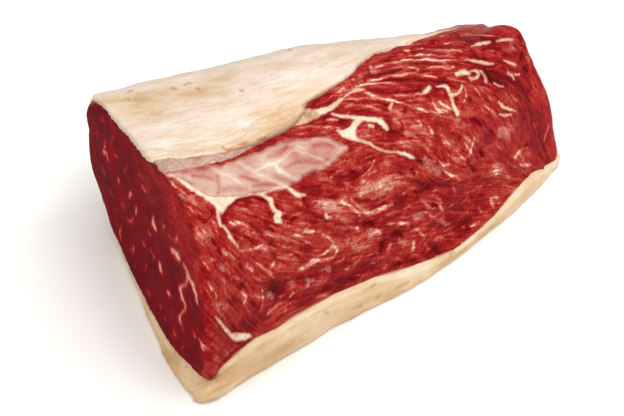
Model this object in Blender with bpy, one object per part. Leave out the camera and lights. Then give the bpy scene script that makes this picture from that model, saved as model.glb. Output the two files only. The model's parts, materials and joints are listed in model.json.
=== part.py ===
"""A raw picanha: a tapering block of lean beef that lies on its thick fat cap,
with a thinner sheet of fat over its crown and back.

Sizes are in millimetres and MM turns them into Blender's metres. +X runs along the
front foot from the cut end to the tip end, +Y is depth and +Z is up. The table is z = 0.
"""

import math
from collections import namedtuple

import bmesh
import bpy
import numpy as np

MM = 0.001

# The body is lofted through five stations. Each gives the share of the length, where its
# front foot stands on the table, the turn of its plane from the X axis in degrees, and the
# (depth, height) of the points that a closed B-spline follows round from the foot.
OUTLINE_POINTS = (
    "low_face", "face", "shoulder", "crown", "top",
    "back_edge", "back", "back_low", "heel", "sole",
)
Station = namedtuple("Station", ("share", "foot", "turn") + OUTLINE_POINTS)
STATIONS = (
    Station(
        0.00, (0, -2), 70,
        (-8.5, 26.5), (-13, 58.5), (-4, 91), (26.5, 97), (80, 85.5),
        (133.5, 71.5), (145.5, 42.5), (139, 20.5), (106, 0), (51.5, 0),
    ),
    Station(
        0.25, (56.5, -6.5), 76,
        (-1, 24.5), (2, 56.5), (15, 86.5), (45, 96), (89.5, 82.5),
        (128, 65), (141, 39.5), (133.5, 17), (105.5, 0), (51.5, 0),
    ),
    Station(
        0.50, (113.5, -9.5), 82,
        (4, 20.5), (7.5, 51), (20.5, 79), (51, 89.5), (86.5, 76),
        (116.5, 59), (129.5, 35.5), (122, 13), (96, 0), (47, 0),
    ),
    Station(
        0.75, (171, -7.5), 87,
        (5.5, 19), (11.5, 45), (23.5, 68.5), (51, 76), (77, 66),
        (99.5, 51), (111, 34), (103.5, 13), (81, 0), (40.5, 0),
    ),
    Station(
        1.00, (223, 4), 90,
        (4.5, 15), (10.5, 34), (21.5, 49), (31, 66), (52.5, 55.5),
        (75, 44), (88.5, 30), (82.5, 13), (64, 0), (32, 0),
    ),
)
# The stretches of the B-spline's parameter that hold the front face and the lower back
FRONT_STRETCH = (0.5, 4.0)
BACK_STRETCH = (10.5, 7.5)

# How far the front foot swings back from its stations, as (share of the length, depth)
FOOT_SWAY = ((0.0, 0), (0.20, 0.5), (0.38, 4.5), (0.50, 1.5), (0.62, -0.5), (0.72, 1.5), (0.85, 2), (1.0, 0))

# The fat cap's thickness along the front foot, as (share of the length, thickness), and at
# its back, how far it stands proud in front, and how much the seam above it sags
CAP_FRONT = (
    (0.0, 10.5), (0.04, 20.5), (0.10, 25.5), (0.18, 23), (0.29, 20.5), (0.37, 15.5), (0.46, 11),
    (0.54, 6.5), (0.63, 5.5), (0.72, 7.5), (0.80, 9), (0.88, 8.5), (1.0, 3.5),
)
CAP_BACK = 6.0
CAP_LEDGE = 1.2
SEAM_SAG = 2.0
# How far the soft cap bulges out past the cut face, as (depth, overhang), and the heights
# between which that bulge dies away
CAP_OVERHANG = ((-9.5, 1.5), (0, 2.5), (14, 4.5), (37.5, 5.5), (70.5, 4), (103.5, 0), (150.5, 0))
OVERHANG_FADE = (2.0, 8.0)

# The sheet of fat: where its lip runs, as (share of the length, parameter round the
# outline), how far the lean dips in front of the lip, the height of the sheet's hem on the
# back, and its thickness along the length and at the hem
LIP = (
    (0.0, 5.3), (0.08, 4.9), (0.16, 4.63), (0.25, 4.5), (0.31, 4.5), (0.36, 4.68), (0.44, 4.77),
    (0.51, 4.9), (0.58, 5.12), (0.70, 5.25), (0.80, 5.35), (0.90, 5.6), (1.0, 6.0),
)
LIP_DIP = 0.7
HEM_HEIGHT = 11.0
HEM_TAPER = 1.5
SHEET = ((0.0, 1.5), (0.15, 3.5), (0.80, 3.5), (1.0, 1.5))
SHEET_AT_HEM = 1.2

# Clearance between neighbours, the rounding of the cut face's edge, and the rings that
# round the tip end off, as (size of the ring, how far it stands out)
GAP = 0.4
CUT_ROUNDING = 1.6
CUT_SHRINK = 0.982
TIP_RINGS = ((0.985, 2.5), (0.95, 4.2), (0.88, 5.6))
TIP_CENTRE_HEIGHT = 28.0

RINGS = 27
CAP_POINTS = 26
SHEET_POINTS = 16
SEAM_POINTS = 12
# Steps of the lean between the cap's front, the dip, the lip, the hem and the cap's back
LEAN_STEPS = (12, 4, SHEET_POINTS - 1, 2, 2)
SMOOTH_BELOW = math.radians(40)

LEAN_RED = (0.42, 0.022, 0.022, 1.0)
CAP_CREAM = (0.78, 0.55, 0.33, 1.0)
SHEET_CREAM = (0.88, 0.74, 0.58, 1.0)


def clear_scene():
    for obj in list(bpy.data.objects):
        bpy.data.objects.remove(obj)


def material(name, colour, roughness):
    made = bpy.data.materials.new(name)
    made.use_nodes = True
    shader = made.node_tree.nodes["Principled BSDF"]
    shader.inputs["Base Color"].default_value = colour
    shader.inputs["Roughness"].default_value = roughness
    shader.inputs["Metallic"].default_value = 0.0
    return made


def ease(low, high, x):
    """0 below low, 1 above high, and a smooth step between."""
    t = min(1.0, max(0.0, (x - low) / (high - low)))
    return t * t * (3 - 2 * t)


def through(keys, values, x):
    """A smooth curve through the values at the keys."""
    values = np.array(values, float)
    slopes = np.gradient(values, keys, axis=0)
    i = min(len(keys) - 2, max(0, int(np.searchsorted(keys, x, side="right")) - 1))
    step = keys[i + 1] - keys[i]
    t = (x - keys[i]) / step
    return (
        (2 * t**3 - 3 * t**2 + 1) * values[i]
        + (t**3 - 2 * t**2 + t) * step * slopes[i]
        + (3 * t**2 - 2 * t**3) * values[i + 1]
        + (t**3 - t**2) * step * slopes[i + 1]
    )


def along(pairs, x):
    """The value at x of a smooth curve given as (key, value) pairs."""
    keys, values = zip(*pairs)
    return float(through(keys, values, x))


class Section:
    """One cross-section of the whole joint, at a share of its length."""

    def __init__(self, share):
        keys = [s.share for s in STATIONS]
        turn = math.radians(float(through(keys, [s.turn for s in STATIONS], share)))
        self.foot = through(keys, [s.foot for s in STATIONS], share)
        self.depth_way = np.array((math.cos(turn), math.sin(turn)))
        self.out_way = np.array((math.sin(turn), -math.cos(turn)))
        # the foot counts twice, which keeps its corner sharper than the rest
        outlines = [((0, 0), (0, 0)) + s[3:] for s in STATIONS]
        self.net = through(keys, outlines, share)
        self.net[:3, 0] += along(FOOT_SWAY, share) * np.array((1.0, 1.0, 0.5))
        self.sheet = along(SHEET, share)
        self.lip = along(LIP, share)
        self.front = self.find(along(CAP_FRONT, share), *FRONT_STRETCH)
        self.back = self.find(CAP_BACK, *BACK_STRETCH)
        self.hem = self.find(HEM_HEIGHT, *BACK_STRETCH)
        self.clear = (self.hem + self.back) / 2

    def point(self, u):
        """(depth, height) on the outline: u counts the points that the B-spline follows."""
        count = len(self.net)
        i, t = int(math.floor(u)), u - math.floor(u)
        a, b, c, d = (self.net[(i + k) % count] for k in (-1, 0, 1, 2))
        at = (
            (1 - t) ** 3 * a
            + (3 * t**3 - 6 * t**2 + 4) * b
            + (-3 * t**3 + 3 * t**2 + 3 * t + 1) * c
            + t**3 * d
        ) / 6
        return np.array((at[0], max(at[1], 0.0)))

    def inward(self, u):
        """The unit way into the meat at u."""
        run = self.point(u + 0.05) - self.point(u - 0.05)
        run /= np.linalg.norm(run)
        return np.array((run[1], -run[0]))

    def find(self, height, low, high):
        """The parameter between low and high where the outline has this height."""
        for _ in range(40):
            middle = (low + high) / 2
            if self.point(middle)[1] < height:
                low = middle
            else:
                high = middle
        return (low + high) / 2

    def place(self, at, out=0.0):
        """A (depth, height) of this section as a point in space, pushed towards the tip."""
        x, y = self.foot + self.depth_way * at[0] + self.out_way * out
        return (x, y, at[1])


def sheet_depth(section, u):
    """How thick the sheet of fat is at u."""
    thinned = ease(section.hem - HEM_TAPER, section.hem, u)
    return section.sheet - (section.sheet - SHEET_AT_HEM) * thinned


def lean_sunk(section, u):
    """How far the lean lies under the outline at u, to make room for the sheet of fat."""
    under = ease(section.lip - LIP_DIP, section.lip, u)
    past = 1 - ease(section.hem, section.clear, u)
    return (sheet_depth(section, u) + GAP) * under * past


def seam(section, share):
    """A point of the seam between lean and fat cap, from the front (0) to the back (1)."""
    start, end = section.point(section.front), section.point(section.back)
    sag = SEAM_SAG * math.sin(math.pi * share)
    return start + (end - start) * share - np.array((0.0, sag))


def stretches(stops, counts):
    """Parameters spread evenly between each stop and the next."""
    spread = [stops[0]]
    for low, high, count in zip(stops, stops[1:], counts):
        spread.extend(np.linspace(low, high, count + 1)[1:])
    return spread


def lean_ring(section):
    dip = section.lip - LIP_DIP
    stops = (section.front, dip, section.lip, section.hem, section.clear, section.back)
    ring = []
    for u in stretches(stops, LEAN_STEPS):
        ring.append(section.point(u) + section.inward(u) * lean_sunk(section, u))
    for share in np.linspace(1, 0, SEAM_POINTS)[1:-1]:
        ring.append(seam(section, share))
    return ring


def cap_ring(section):
    """The fat cap stands a little proud of the lean along the front, as a ledge."""
    corner = len(section.net)
    front = section.front + corner
    down = np.array((0.0, GAP))
    ring = []
    for u in np.linspace(front, section.back, CAP_POINTS):
        proud = CAP_LEDGE * ease(corner - 1.0, corner + 0.5, u)
        lowered = ease(front - 0.6, front, u) + 1 - ease(section.back, section.back + 0.3, u)
        ring.append(section.point(u) - section.inward(u) * proud - down * lowered)
    for share in np.linspace(1, 0, SEAM_POINTS)[1:-1]:
        ring.append(seam(section, share) - down)
    return [np.array((at[0], max(at[1], 0.0))) for at in ring]


def sheet_ring(section):
    """The underside of the sheet from the lip to the hem, then its outer face back again."""
    ring = []
    for u in np.linspace(section.lip, section.hem, SHEET_POINTS):
        ring.append(section.point(u) + section.inward(u) * sheet_depth(section, u))
    for u in np.linspace(section.hem, section.lip, SHEET_POINTS):
        ring.append(section.point(u))
    return ring


def cut_overhang(at):
    """How far the soft fat cap bulges out past the cut face, by depth and height."""
    return along(CAP_OVERHANG, at[0]) * (1 - ease(*OVERHANG_FADE, at[1]))


def drawn_in(ring, middle, size):
    return [middle + (at - middle) * size for at in ring]


def evenly_spaced_sections():
    return [Section(share) for share in np.linspace(0, 1, RINGS)]


def tip_rings(section, ring):
    """Rings that round the tip end off, in space."""
    middle = np.array((section.net[:, 0].mean(), TIP_CENTRE_HEIGHT))
    return [[section.place(at, out) for at in drawn_in(ring, middle, size)] for size, out in TIP_RINGS]


def lean_rings():
    """The lean from its cut face, with a rounded edge, to its rounded tip."""
    first, *others = evenly_spaced_sections()
    start = lean_ring(first)
    rings = [[first.place(at) for at in drawn_in(start, np.mean(start, axis=0), CUT_SHRINK)]]
    rings.append([first.place(at, CUT_ROUNDING) for at in start])
    rings.extend([section.place(at) for at in lean_ring(section)] for section in others)
    return rings + tip_rings(others[-1], lean_ring(others[-1]))


def cap_rings():
    """The fat cap from its end, which bulges past the cut face, to its rounded tip."""
    first, *others = evenly_spaced_sections()
    start = cap_ring(first)
    rings = [[first.place(at, -cut_overhang(at)) for at in start]]
    rings.append([first.place(at, CUT_ROUNDING) for at in start])
    rings.extend([section.place(at) for at in cap_ring(section)] for section in others)
    return rings + tip_rings(others[-1], cap_ring(others[-1]))


def sheet_rings():
    """The sheet of fat, which ends flush with the cut face and thins towards the tip."""
    return [[section.place(at) for at in sheet_ring(section)] for section in evenly_spaced_sections()]


def edge_loop(bm, ring):
    verts = [bm.verts.new(at) for at in ring]
    return [bm.edges.new(ends) for ends in zip(verts, verts[1:] + verts[:1])]


def solid(name, rings, finish):
    """A closed solid lofted through the rings."""
    bm = bmesh.new()
    loops = [edge_loop(bm, ring) for ring in rings]
    for low, high in zip(loops, loops[1:]):
        bmesh.ops.bridge_loops(bm, edges=low + high)
    for end in (loops[0], loops[-1]):
        bmesh.ops.contextual_create(bm, geom=end)
    bmesh.ops.scale(bm, vec=(MM, MM, MM), verts=bm.verts)
    bmesh.ops.recalc_face_normals(bm, faces=bm.faces)
    # neighbours are cut along like diagonals, which keeps the gap between them even
    bmesh.ops.triangulate(bm, faces=bm.faces, quad_method="SHORT_EDGE")
    mesh = bpy.data.meshes.new(name)
    bm.to_mesh(mesh)
    bm.free()
    mesh.materials.append(finish)
    mesh.shade_smooth()
    mesh.set_sharp_from_angle(angle=SMOOTH_BELOW)
    made = bpy.data.objects.new(name, mesh)
    bpy.context.scene.collection.objects.link(made)
    return made


def centre_on_table(objects):
    """Moves the objects so that the middle of their common box is over the origin."""
    corners = np.array([v.co for obj in objects for v in obj.data.vertices])
    low, high = corners.min(axis=0), corners.max(axis=0)
    for obj in objects:
        obj.location = (-(low[0] + high[0]) / 2, -(low[1] + high[1]) / 2, -low[2])


def main():
    clear_scene()
    lean = solid("lean", lean_rings(), material("raw_lean", LEAN_RED, 0.45))
    cap = solid("fat_cap", cap_rings(), material("cap_fat", CAP_CREAM, 0.5))
    sheet = solid("top_fat", sheet_rings(), material("sheet_fat", SHEET_CREAM, 0.5))
    centre_on_table([lean, cap, sheet])


main()
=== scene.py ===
import json
import math

import bpy
import numpy as np
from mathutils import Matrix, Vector, noise
from mathutils.bvhtree import BVHTree

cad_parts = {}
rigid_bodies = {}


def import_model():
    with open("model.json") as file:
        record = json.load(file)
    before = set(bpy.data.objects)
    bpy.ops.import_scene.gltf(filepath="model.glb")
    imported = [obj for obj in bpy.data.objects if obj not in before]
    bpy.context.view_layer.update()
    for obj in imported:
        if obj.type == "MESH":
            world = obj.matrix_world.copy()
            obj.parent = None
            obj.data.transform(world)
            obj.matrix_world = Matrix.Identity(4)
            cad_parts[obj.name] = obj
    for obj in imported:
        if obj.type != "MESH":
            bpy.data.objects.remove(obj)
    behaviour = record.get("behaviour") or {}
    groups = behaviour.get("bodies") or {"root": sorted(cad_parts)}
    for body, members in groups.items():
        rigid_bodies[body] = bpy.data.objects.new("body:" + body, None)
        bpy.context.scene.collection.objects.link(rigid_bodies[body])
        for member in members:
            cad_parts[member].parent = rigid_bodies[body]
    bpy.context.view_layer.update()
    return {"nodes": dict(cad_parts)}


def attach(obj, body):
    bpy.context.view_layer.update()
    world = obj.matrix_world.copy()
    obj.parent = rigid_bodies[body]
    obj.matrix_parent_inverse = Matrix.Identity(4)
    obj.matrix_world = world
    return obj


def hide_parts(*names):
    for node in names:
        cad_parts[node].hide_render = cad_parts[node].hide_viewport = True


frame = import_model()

MM = 0.001

# Camera: where it looks, from where, and the picture it takes
PICTURE = (624, 416)
TARGET = Vector((0.0062, 0.0017, 0.0))
AZIMUTH = math.radians(-43)
ELEVATION = math.radians(38)
DISTANCE = 0.799
LENS = 100
SENSOR = 36
FOCAL = PICTURE[0] * LENS / SENSOR
RIGHT = Vector((math.cos(AZIMUTH), math.sin(AZIMUTH), 0))
BACK = Vector((
    math.sin(AZIMUTH) * math.cos(ELEVATION), -math.cos(AZIMUTH) * math.cos(ELEVATION), math.sin(ELEVATION)
))
UP = BACK.cross(RIGHT)
EYE = TARGET + BACK * DISTANCE
# What one pixel spans on the joint, in millimetres
PIXEL = 0.46

# Lines drawn on the joint are points (x, y, half width), in the picture's pixels.
# Cream seam fat between the muscles of the bare face
SEAM_FAT = (
    ((165, 175, 1.2), (175, 177, 1.6), (187, 185, 2), (203, 196, 2.2)),
    ((236, 197, 1.2), (250, 194.5, 1.2), (262, 194, 1.6), (270, 190, 1.2), (280, 187, 1.4), (286, 187, 2)),
    ((262, 195, 1.6), (269, 199, 2.4), (272, 205, 2.2), (275, 211, 2.4)),
    ((278, 215, 4.6), (278, 220, 4.4)),
    ((284, 186, 1.6), (290, 190, 2), (297, 195, 2.6), (304, 194.5, 1.6)),
    ((218, 212, 2.2), (219, 219, 1.9), (221, 226, 1.3)),
    ((224, 226, 1.2), (230, 236, 1.7), (234, 242, 1.4), (238, 248, 0.5)),
    ((216, 317, 0.9), (221, 324, 1.3), (228, 332, 1.9), (234, 337, 2.6), (242, 337, 2.8), (250, 336, 2)),
    ((332, 114, 1), (345, 116.5, 1.8), (362, 118.5, 2.2), (375, 120, 3), (383, 124, 3.2),
     (387.5, 129, 1.8)),
    ((338, 131, 1.6), (348, 137, 2.4), (362, 141, 1.6), (372, 145, 1.3), (383, 151, 0.9), (395, 152, 0.9)),
    ((395, 151.5, 0.8), (403, 153.5, 2), (409, 156, 2.3), (413, 157.5, 1.2)),
    ((457, 74.5, 2), (463, 73, 3), (469, 74, 2)),
    ((471, 71, 1.2), (476, 71, 1.4), (478, 75, 1.4), (474, 79, 1.4), (470, 78, 1)),
    ((480, 71, 0.8), (484, 76, 1.6), (486.5, 82, 0.8)),
    ((472, 46, 0.7), (478, 44.5, 1.5), (486, 43, 1.6), (490, 41.5, 0.7)),
    ((497, 41.5, 0.6), (505, 39.5, 1.3), (513, 39.5, 0.6)),
    ((466, 59.5, 0.5), (472, 60.5, 1), (479, 61.5, 1.8), (486, 63, 1.4), (494, 64, 0.4)),
    ((504, 60.5, 0.7), (510, 62.5, 1.4), (516, 65, 0.5)),
    ((424, 37, 1.8), (432, 34, 1.8), (441, 31, 1.5), (450, 28.5, 1.1), (459, 26, 0.5)),
    ((508, 72, 0.8), (512, 76, 1.2), (514, 80, 0.5)), ((515, 75, 0.9), (519, 74, 1)),
    ((425, 92, 2), (427, 90, 2.6), (429, 87, 1.9)),
    ((437, 86, 1.1), (443, 86, 1.9), (447, 88, 1.6), (450, 94, 2.2), (456, 94, 2), (460, 91, 1.1),
     (462, 84, 0.8)),
    ((451, 97, 1), (453, 104, 1.3), (456, 110, 2.1), (458, 114, 1.8)),
    ((499, 102, 1), (503, 106, 1.9), (508, 109, 1.4), (515, 111, 0.4)),
    ((500, 114, 0.5), (505, 116, 1.1), (511, 114.5, 0.4)), ((494, 83, 0.5), (499, 85, 1), (503, 86, 0.5)),
    ((389.5, 108, 1.9), (392, 104, 1.3)), ((326, 213, 1.2), (327, 217, 2), (331, 218, 1)),
    ((370, 126, 1.8), (372, 127, 1.8)), ((339, 101, 1), (345, 96.5, 1), (352, 91.5, 0.8), (360, 89, 0.6)),
)
# Wider webs of the same fat, as outlines
FAT_WEBS = (
    ((200, 193), (212, 196), (226, 196.5), (240, 195.5), (233, 201.5), (227, 207), (222.5, 214),
     (217.5, 211), (214, 204.5), (206, 200)),
    ((357, 118.5), (364, 120), (358, 126), (355.5, 131), (357, 137), (362, 141), (350, 139.5), (342, 135),
     (336, 131), (345, 129.5), (350, 126), (354, 121)),
    ((231, 334), (238, 333), (250, 333), (252, 336), (246, 340.5), (236, 341), (231, 339)),
    ((294, 112), (303, 106), (306, 108.5), (313, 110), (320, 108.4), (327, 106.3), (334, 103.3),
     (339, 100.7), (343, 98), (345, 98.5), (341, 103), (335, 107.5), (330, 111), (325, 114), (318, 117.5),
     (311, 120.5), (305, 124), (291, 126.5), (284, 131), (282, 122)),
)
# Paler, pinker strands that lie along the fibres
STRANDS = (
    ((240, 250, 1), (247, 251, 1.2), (255, 249, 1.2), (263, 245, 0.7)),
    ((257, 264, 1), (265, 269, 1.6), (270, 273, 1.6), (275, 278, 0.9)),
    ((301, 270, 1.6), (308, 266, 2.6), (316, 261, 2), (326, 259, 1.4), (334, 256, 1.2), (337, 250, 1.1),
     (333, 246, 0.9)),
    ((308, 263, 0.9), (318, 257, 1.1), (328, 251, 1.1), (333, 244, 1.1), (329, 238, 1.1), (321, 234, 0.8)),
    ((296, 234, 1.1), (300, 235, 1.1)), ((304, 232, 1.1), (312, 232, 1.1)),
    ((277, 257, 0.9), (285, 257, 0.9), (292, 254, 0.6)),
    ((261, 289, 0.7), (263, 294, 1.1), (263, 302, 0.9), (261, 312, 0.6)),
    ((268, 315, 0.6), (275, 308, 1), (280, 303, 1), (290, 302, 0.6)), ((266, 300, 0.9), (269, 296, 0.9)),
    ((280, 298, 1.1), (284, 294, 1.1)), ((287, 290, 0.9), (295, 285, 1)),
    ((290, 297, 0.8), (294, 293, 0.8)),
    ((208, 281, 1.2), (210, 286, 1.9), (214, 291, 1.1), (216, 297, 0.7)),
    ((203, 262, 0.9), (206, 266, 1.2), (209, 270, 1)), ((212, 259, 1), (216, 261, 1)),
    ((217, 264, 0.7), (225, 273, 0.8), (231, 280, 0.6)), ((226, 268, 0.9), (230, 273, 0.9)),
    ((233, 277, 1.6), (239, 279, 1.6)), ((193, 251, 1), (198, 255, 1)), ((223, 250, 1.3), (226, 254, 1.3)),
    ((247, 264, 1), (252, 270, 1)), ((242, 293, 1.1), (246, 297, 1.2), (243, 304, 0.8)),
    ((270, 268, 1), (275, 262, 1)), ((254, 232, 0.6), (270, 236, 0.8), (285, 238, 0.8), (297, 241, 0.5)),
    ((230, 222, 1.5), (239, 223, 1.8)),
    ((341, 201, 0.9), (350, 206, 1.3), (357, 212, 1.4), (360, 216, 0.9)),
    ((345, 182, 1.8), (347, 185, 1.8)), ((330, 177, 0.8), (337, 172, 1.1), (343, 170, 0.7)),
    ((286, 222, 0.9), (293, 216, 1.4), (299, 214, 0.8)),
    ((352, 200, 0.9), (360, 207, 1.4), (368, 213, 1.4), (378, 211, 1.1), (388, 206, 0.7)),
    ((383, 207, 1), (392, 204, 1.2)), ((385, 214, 0.6), (393, 212, 0.8), (400, 211, 0.6)),
    ((388, 225, 1), (395, 223, 1.6), (402, 223, 1.3), (409, 225, 0.7)),
    ((421, 199, 0.8), (426, 204, 1), (431, 207, 0.7)), ((433, 196, 0.7), (438, 198, 0.9), (442, 204, 0.6)),
    ((439, 204, 0.7), (443, 211, 0.8)), ((434, 191, 1.1), (439, 190, 1)),
    ((452, 187, 1.1), (455, 193, 0.9)), ((414, 216, 1.6), (416, 219, 1.4)),
    ((418, 216, 0.7), (423, 212, 0.8), (429, 213, 0.8), (433, 217, 0.6)),
    ((411, 232, 0.7), (416, 229, 0.8), (420, 233, 0.8), (424, 238, 0.6)),
    ((445, 235, 0.8), (454, 235, 1.4)), ((389, 241, 0.9), (390, 247, 1.5), (387, 251, 0.9)),
    ((413, 241, 0.7), (413, 249, 1.5), (411, 253, 0.6)),
    ((424, 243, 0.6), (428, 249, 1.2), (425, 252, 0.8)), ((398, 258, 1.8), (401, 260, 1.8)),
    ((384, 269, 1.7), (387, 266, 1.7)), ((353, 268, 0.9), (356, 263, 1.3), (361, 259, 0.6)),
    ((346, 270, 1.5), (349, 268, 1.5)), ((357, 227, 1.2), (358, 230, 1.2)), ((376, 229, 1), (380, 234, 1)),
    ((470, 226, 0.9), (475, 225, 0.9)), ((463, 226, 0.9), (464, 228, 0.9)),
    ((479, 208, 0.9), (481, 212, 0.9)), ((491, 200, 1.4), (493, 207, 1)),
    ((490, 197, 0.8), (498, 197, 0.8)), ((435, 237, 0.8), (442, 236, 0.9)),
    ((372, 70, 0.8), (380, 66, 1), (390, 62.5, 1), (400, 60.5, 0.9), (412, 59.5, 0.9), (430, 59.5, 0.7),
     (450, 60, 0.7), (466, 61, 0.8)),
    ((368, 80, 0.7), (380, 78, 1), (395, 76, 1), (410, 74, 0.8), (425, 76, 0.8), (438, 77, 0.5)),
    ((392, 69, 0.8), (400, 66.5, 1), (410, 67.5, 1), (418, 70, 0.9), (412, 75, 0.6)),
    ((404, 50, 0.4), (420, 50, 0.6), (440, 49.5, 0.7), (455, 50, 1), (461, 51.5, 0.9)),
    ((400, 45, 0.4), (420, 44, 0.6), (445, 43, 0.5), (465, 42, 0.4)),
    ((440, 36, 0.4), (465, 35, 0.5), (495, 36, 0.4)), ((405, 55.5, 0.4), (430, 55, 0.6), (455, 57, 0.5)),
    ((425, 67, 0.6), (440, 67, 0.8), (450, 69, 1.2), (454, 67, 0.9)),
    ((350, 92, 0.8), (362, 90, 1), (371, 95, 1.8), (380, 98, 1.2), (392, 101, 1.3), (405, 103, 1.1),
     (415, 107, 1.1), (423, 110, 1.5), (428, 112, 0.8)),
    ((395, 96, 0.6), (410, 96, 0.9), (420, 94, 0.8), (428, 93, 0.7)),
    ((340, 100, 0.7), (352, 99, 0.8), (365, 98, 0.8), (375, 99, 0.6)),
    ((345, 107, 0.7), (358, 105, 1), (370, 107, 1.3), (380, 110, 0.7)),
    ((356, 86, 0.6), (370, 84, 0.9), (385, 83, 0.7), (400, 84, 0.4)), ((352, 80, 1), (362, 81, 1)),
    ((370, 66, 1.5), (372, 69, 1.5)), ((440, 101, 0.6), (445, 106, 1.1), (450, 110, 0.7)),
    ((432, 101, 0.5), (437, 108, 0.7), (441, 112, 0.5)),
    ((430, 110, 0.7), (436, 113, 0.8), (443, 112, 0.7)), ((418, 121, 1), (421, 125, 1)),
    ((429, 127, 1.2), (432, 133, 1.2)),
    ((449, 155, 0.8), (457, 158, 1.1), (466, 158, 1), (471, 150, 1), (473, 142, 0.9), (474, 138, 0.6)),
    ((456, 145, 1), (460, 148, 1.1), (457, 150, 0.8)), ((443, 165, 1.1), (450, 164, 1)),
    ((446, 172, 0.8), (453, 176, 1.5), (459, 178, 0.8)),
    ((520, 164, 0.8), (526, 165, 1.2), (531, 164.5, 0.8)),
    ((515, 157, 0.6), (521, 151, 0.7), (527, 148, 0.5)), ((534, 124, 0.6), (537, 134, 0.8)),
    ((549, 124, 0.5), (546, 134, 0.7), (544, 142, 0.5)), ((511, 95, 0.6), (517, 101, 0.8)),
    ((498, 53, 1), (500, 55, 1)), ((486, 50, 0.5), (494, 51, 0.7)), ((487, 69, 0.9), (490, 70, 0.9)),
    ((495, 67, 0.8), (500, 66, 0.8)), ((526, 57, 1), (528, 60, 1)), ((505, 176, 1.1), (508, 178, 1.1)),
    ((374, 160, 0.6), (371, 168, 0.8), (362, 176, 0.6)), ((463, 86, 0.5), (466, 94, 0.7), (464, 102, 0.5)),
    ((475, 88, 0.5), (480, 95, 0.6), (484, 100, 0.5)),
    ((292, 127.5, 0.7), (305, 127, 1), (320, 126, 1), (331, 126.5, 1.1), (340, 129, 0.9)),
    ((326, 120, 0.6), (334, 119.5, 0.8), (340, 121, 0.5)),
    ((315, 104, 0.5), (330, 98, 0.7), (345, 88, 0.5)), ((358, 76, 0.6), (368, 74, 0.8), (380, 71, 0.5)),
    ((170, 181, 0.8), (178, 188, 1), (186, 193, 0.7)),
)
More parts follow.
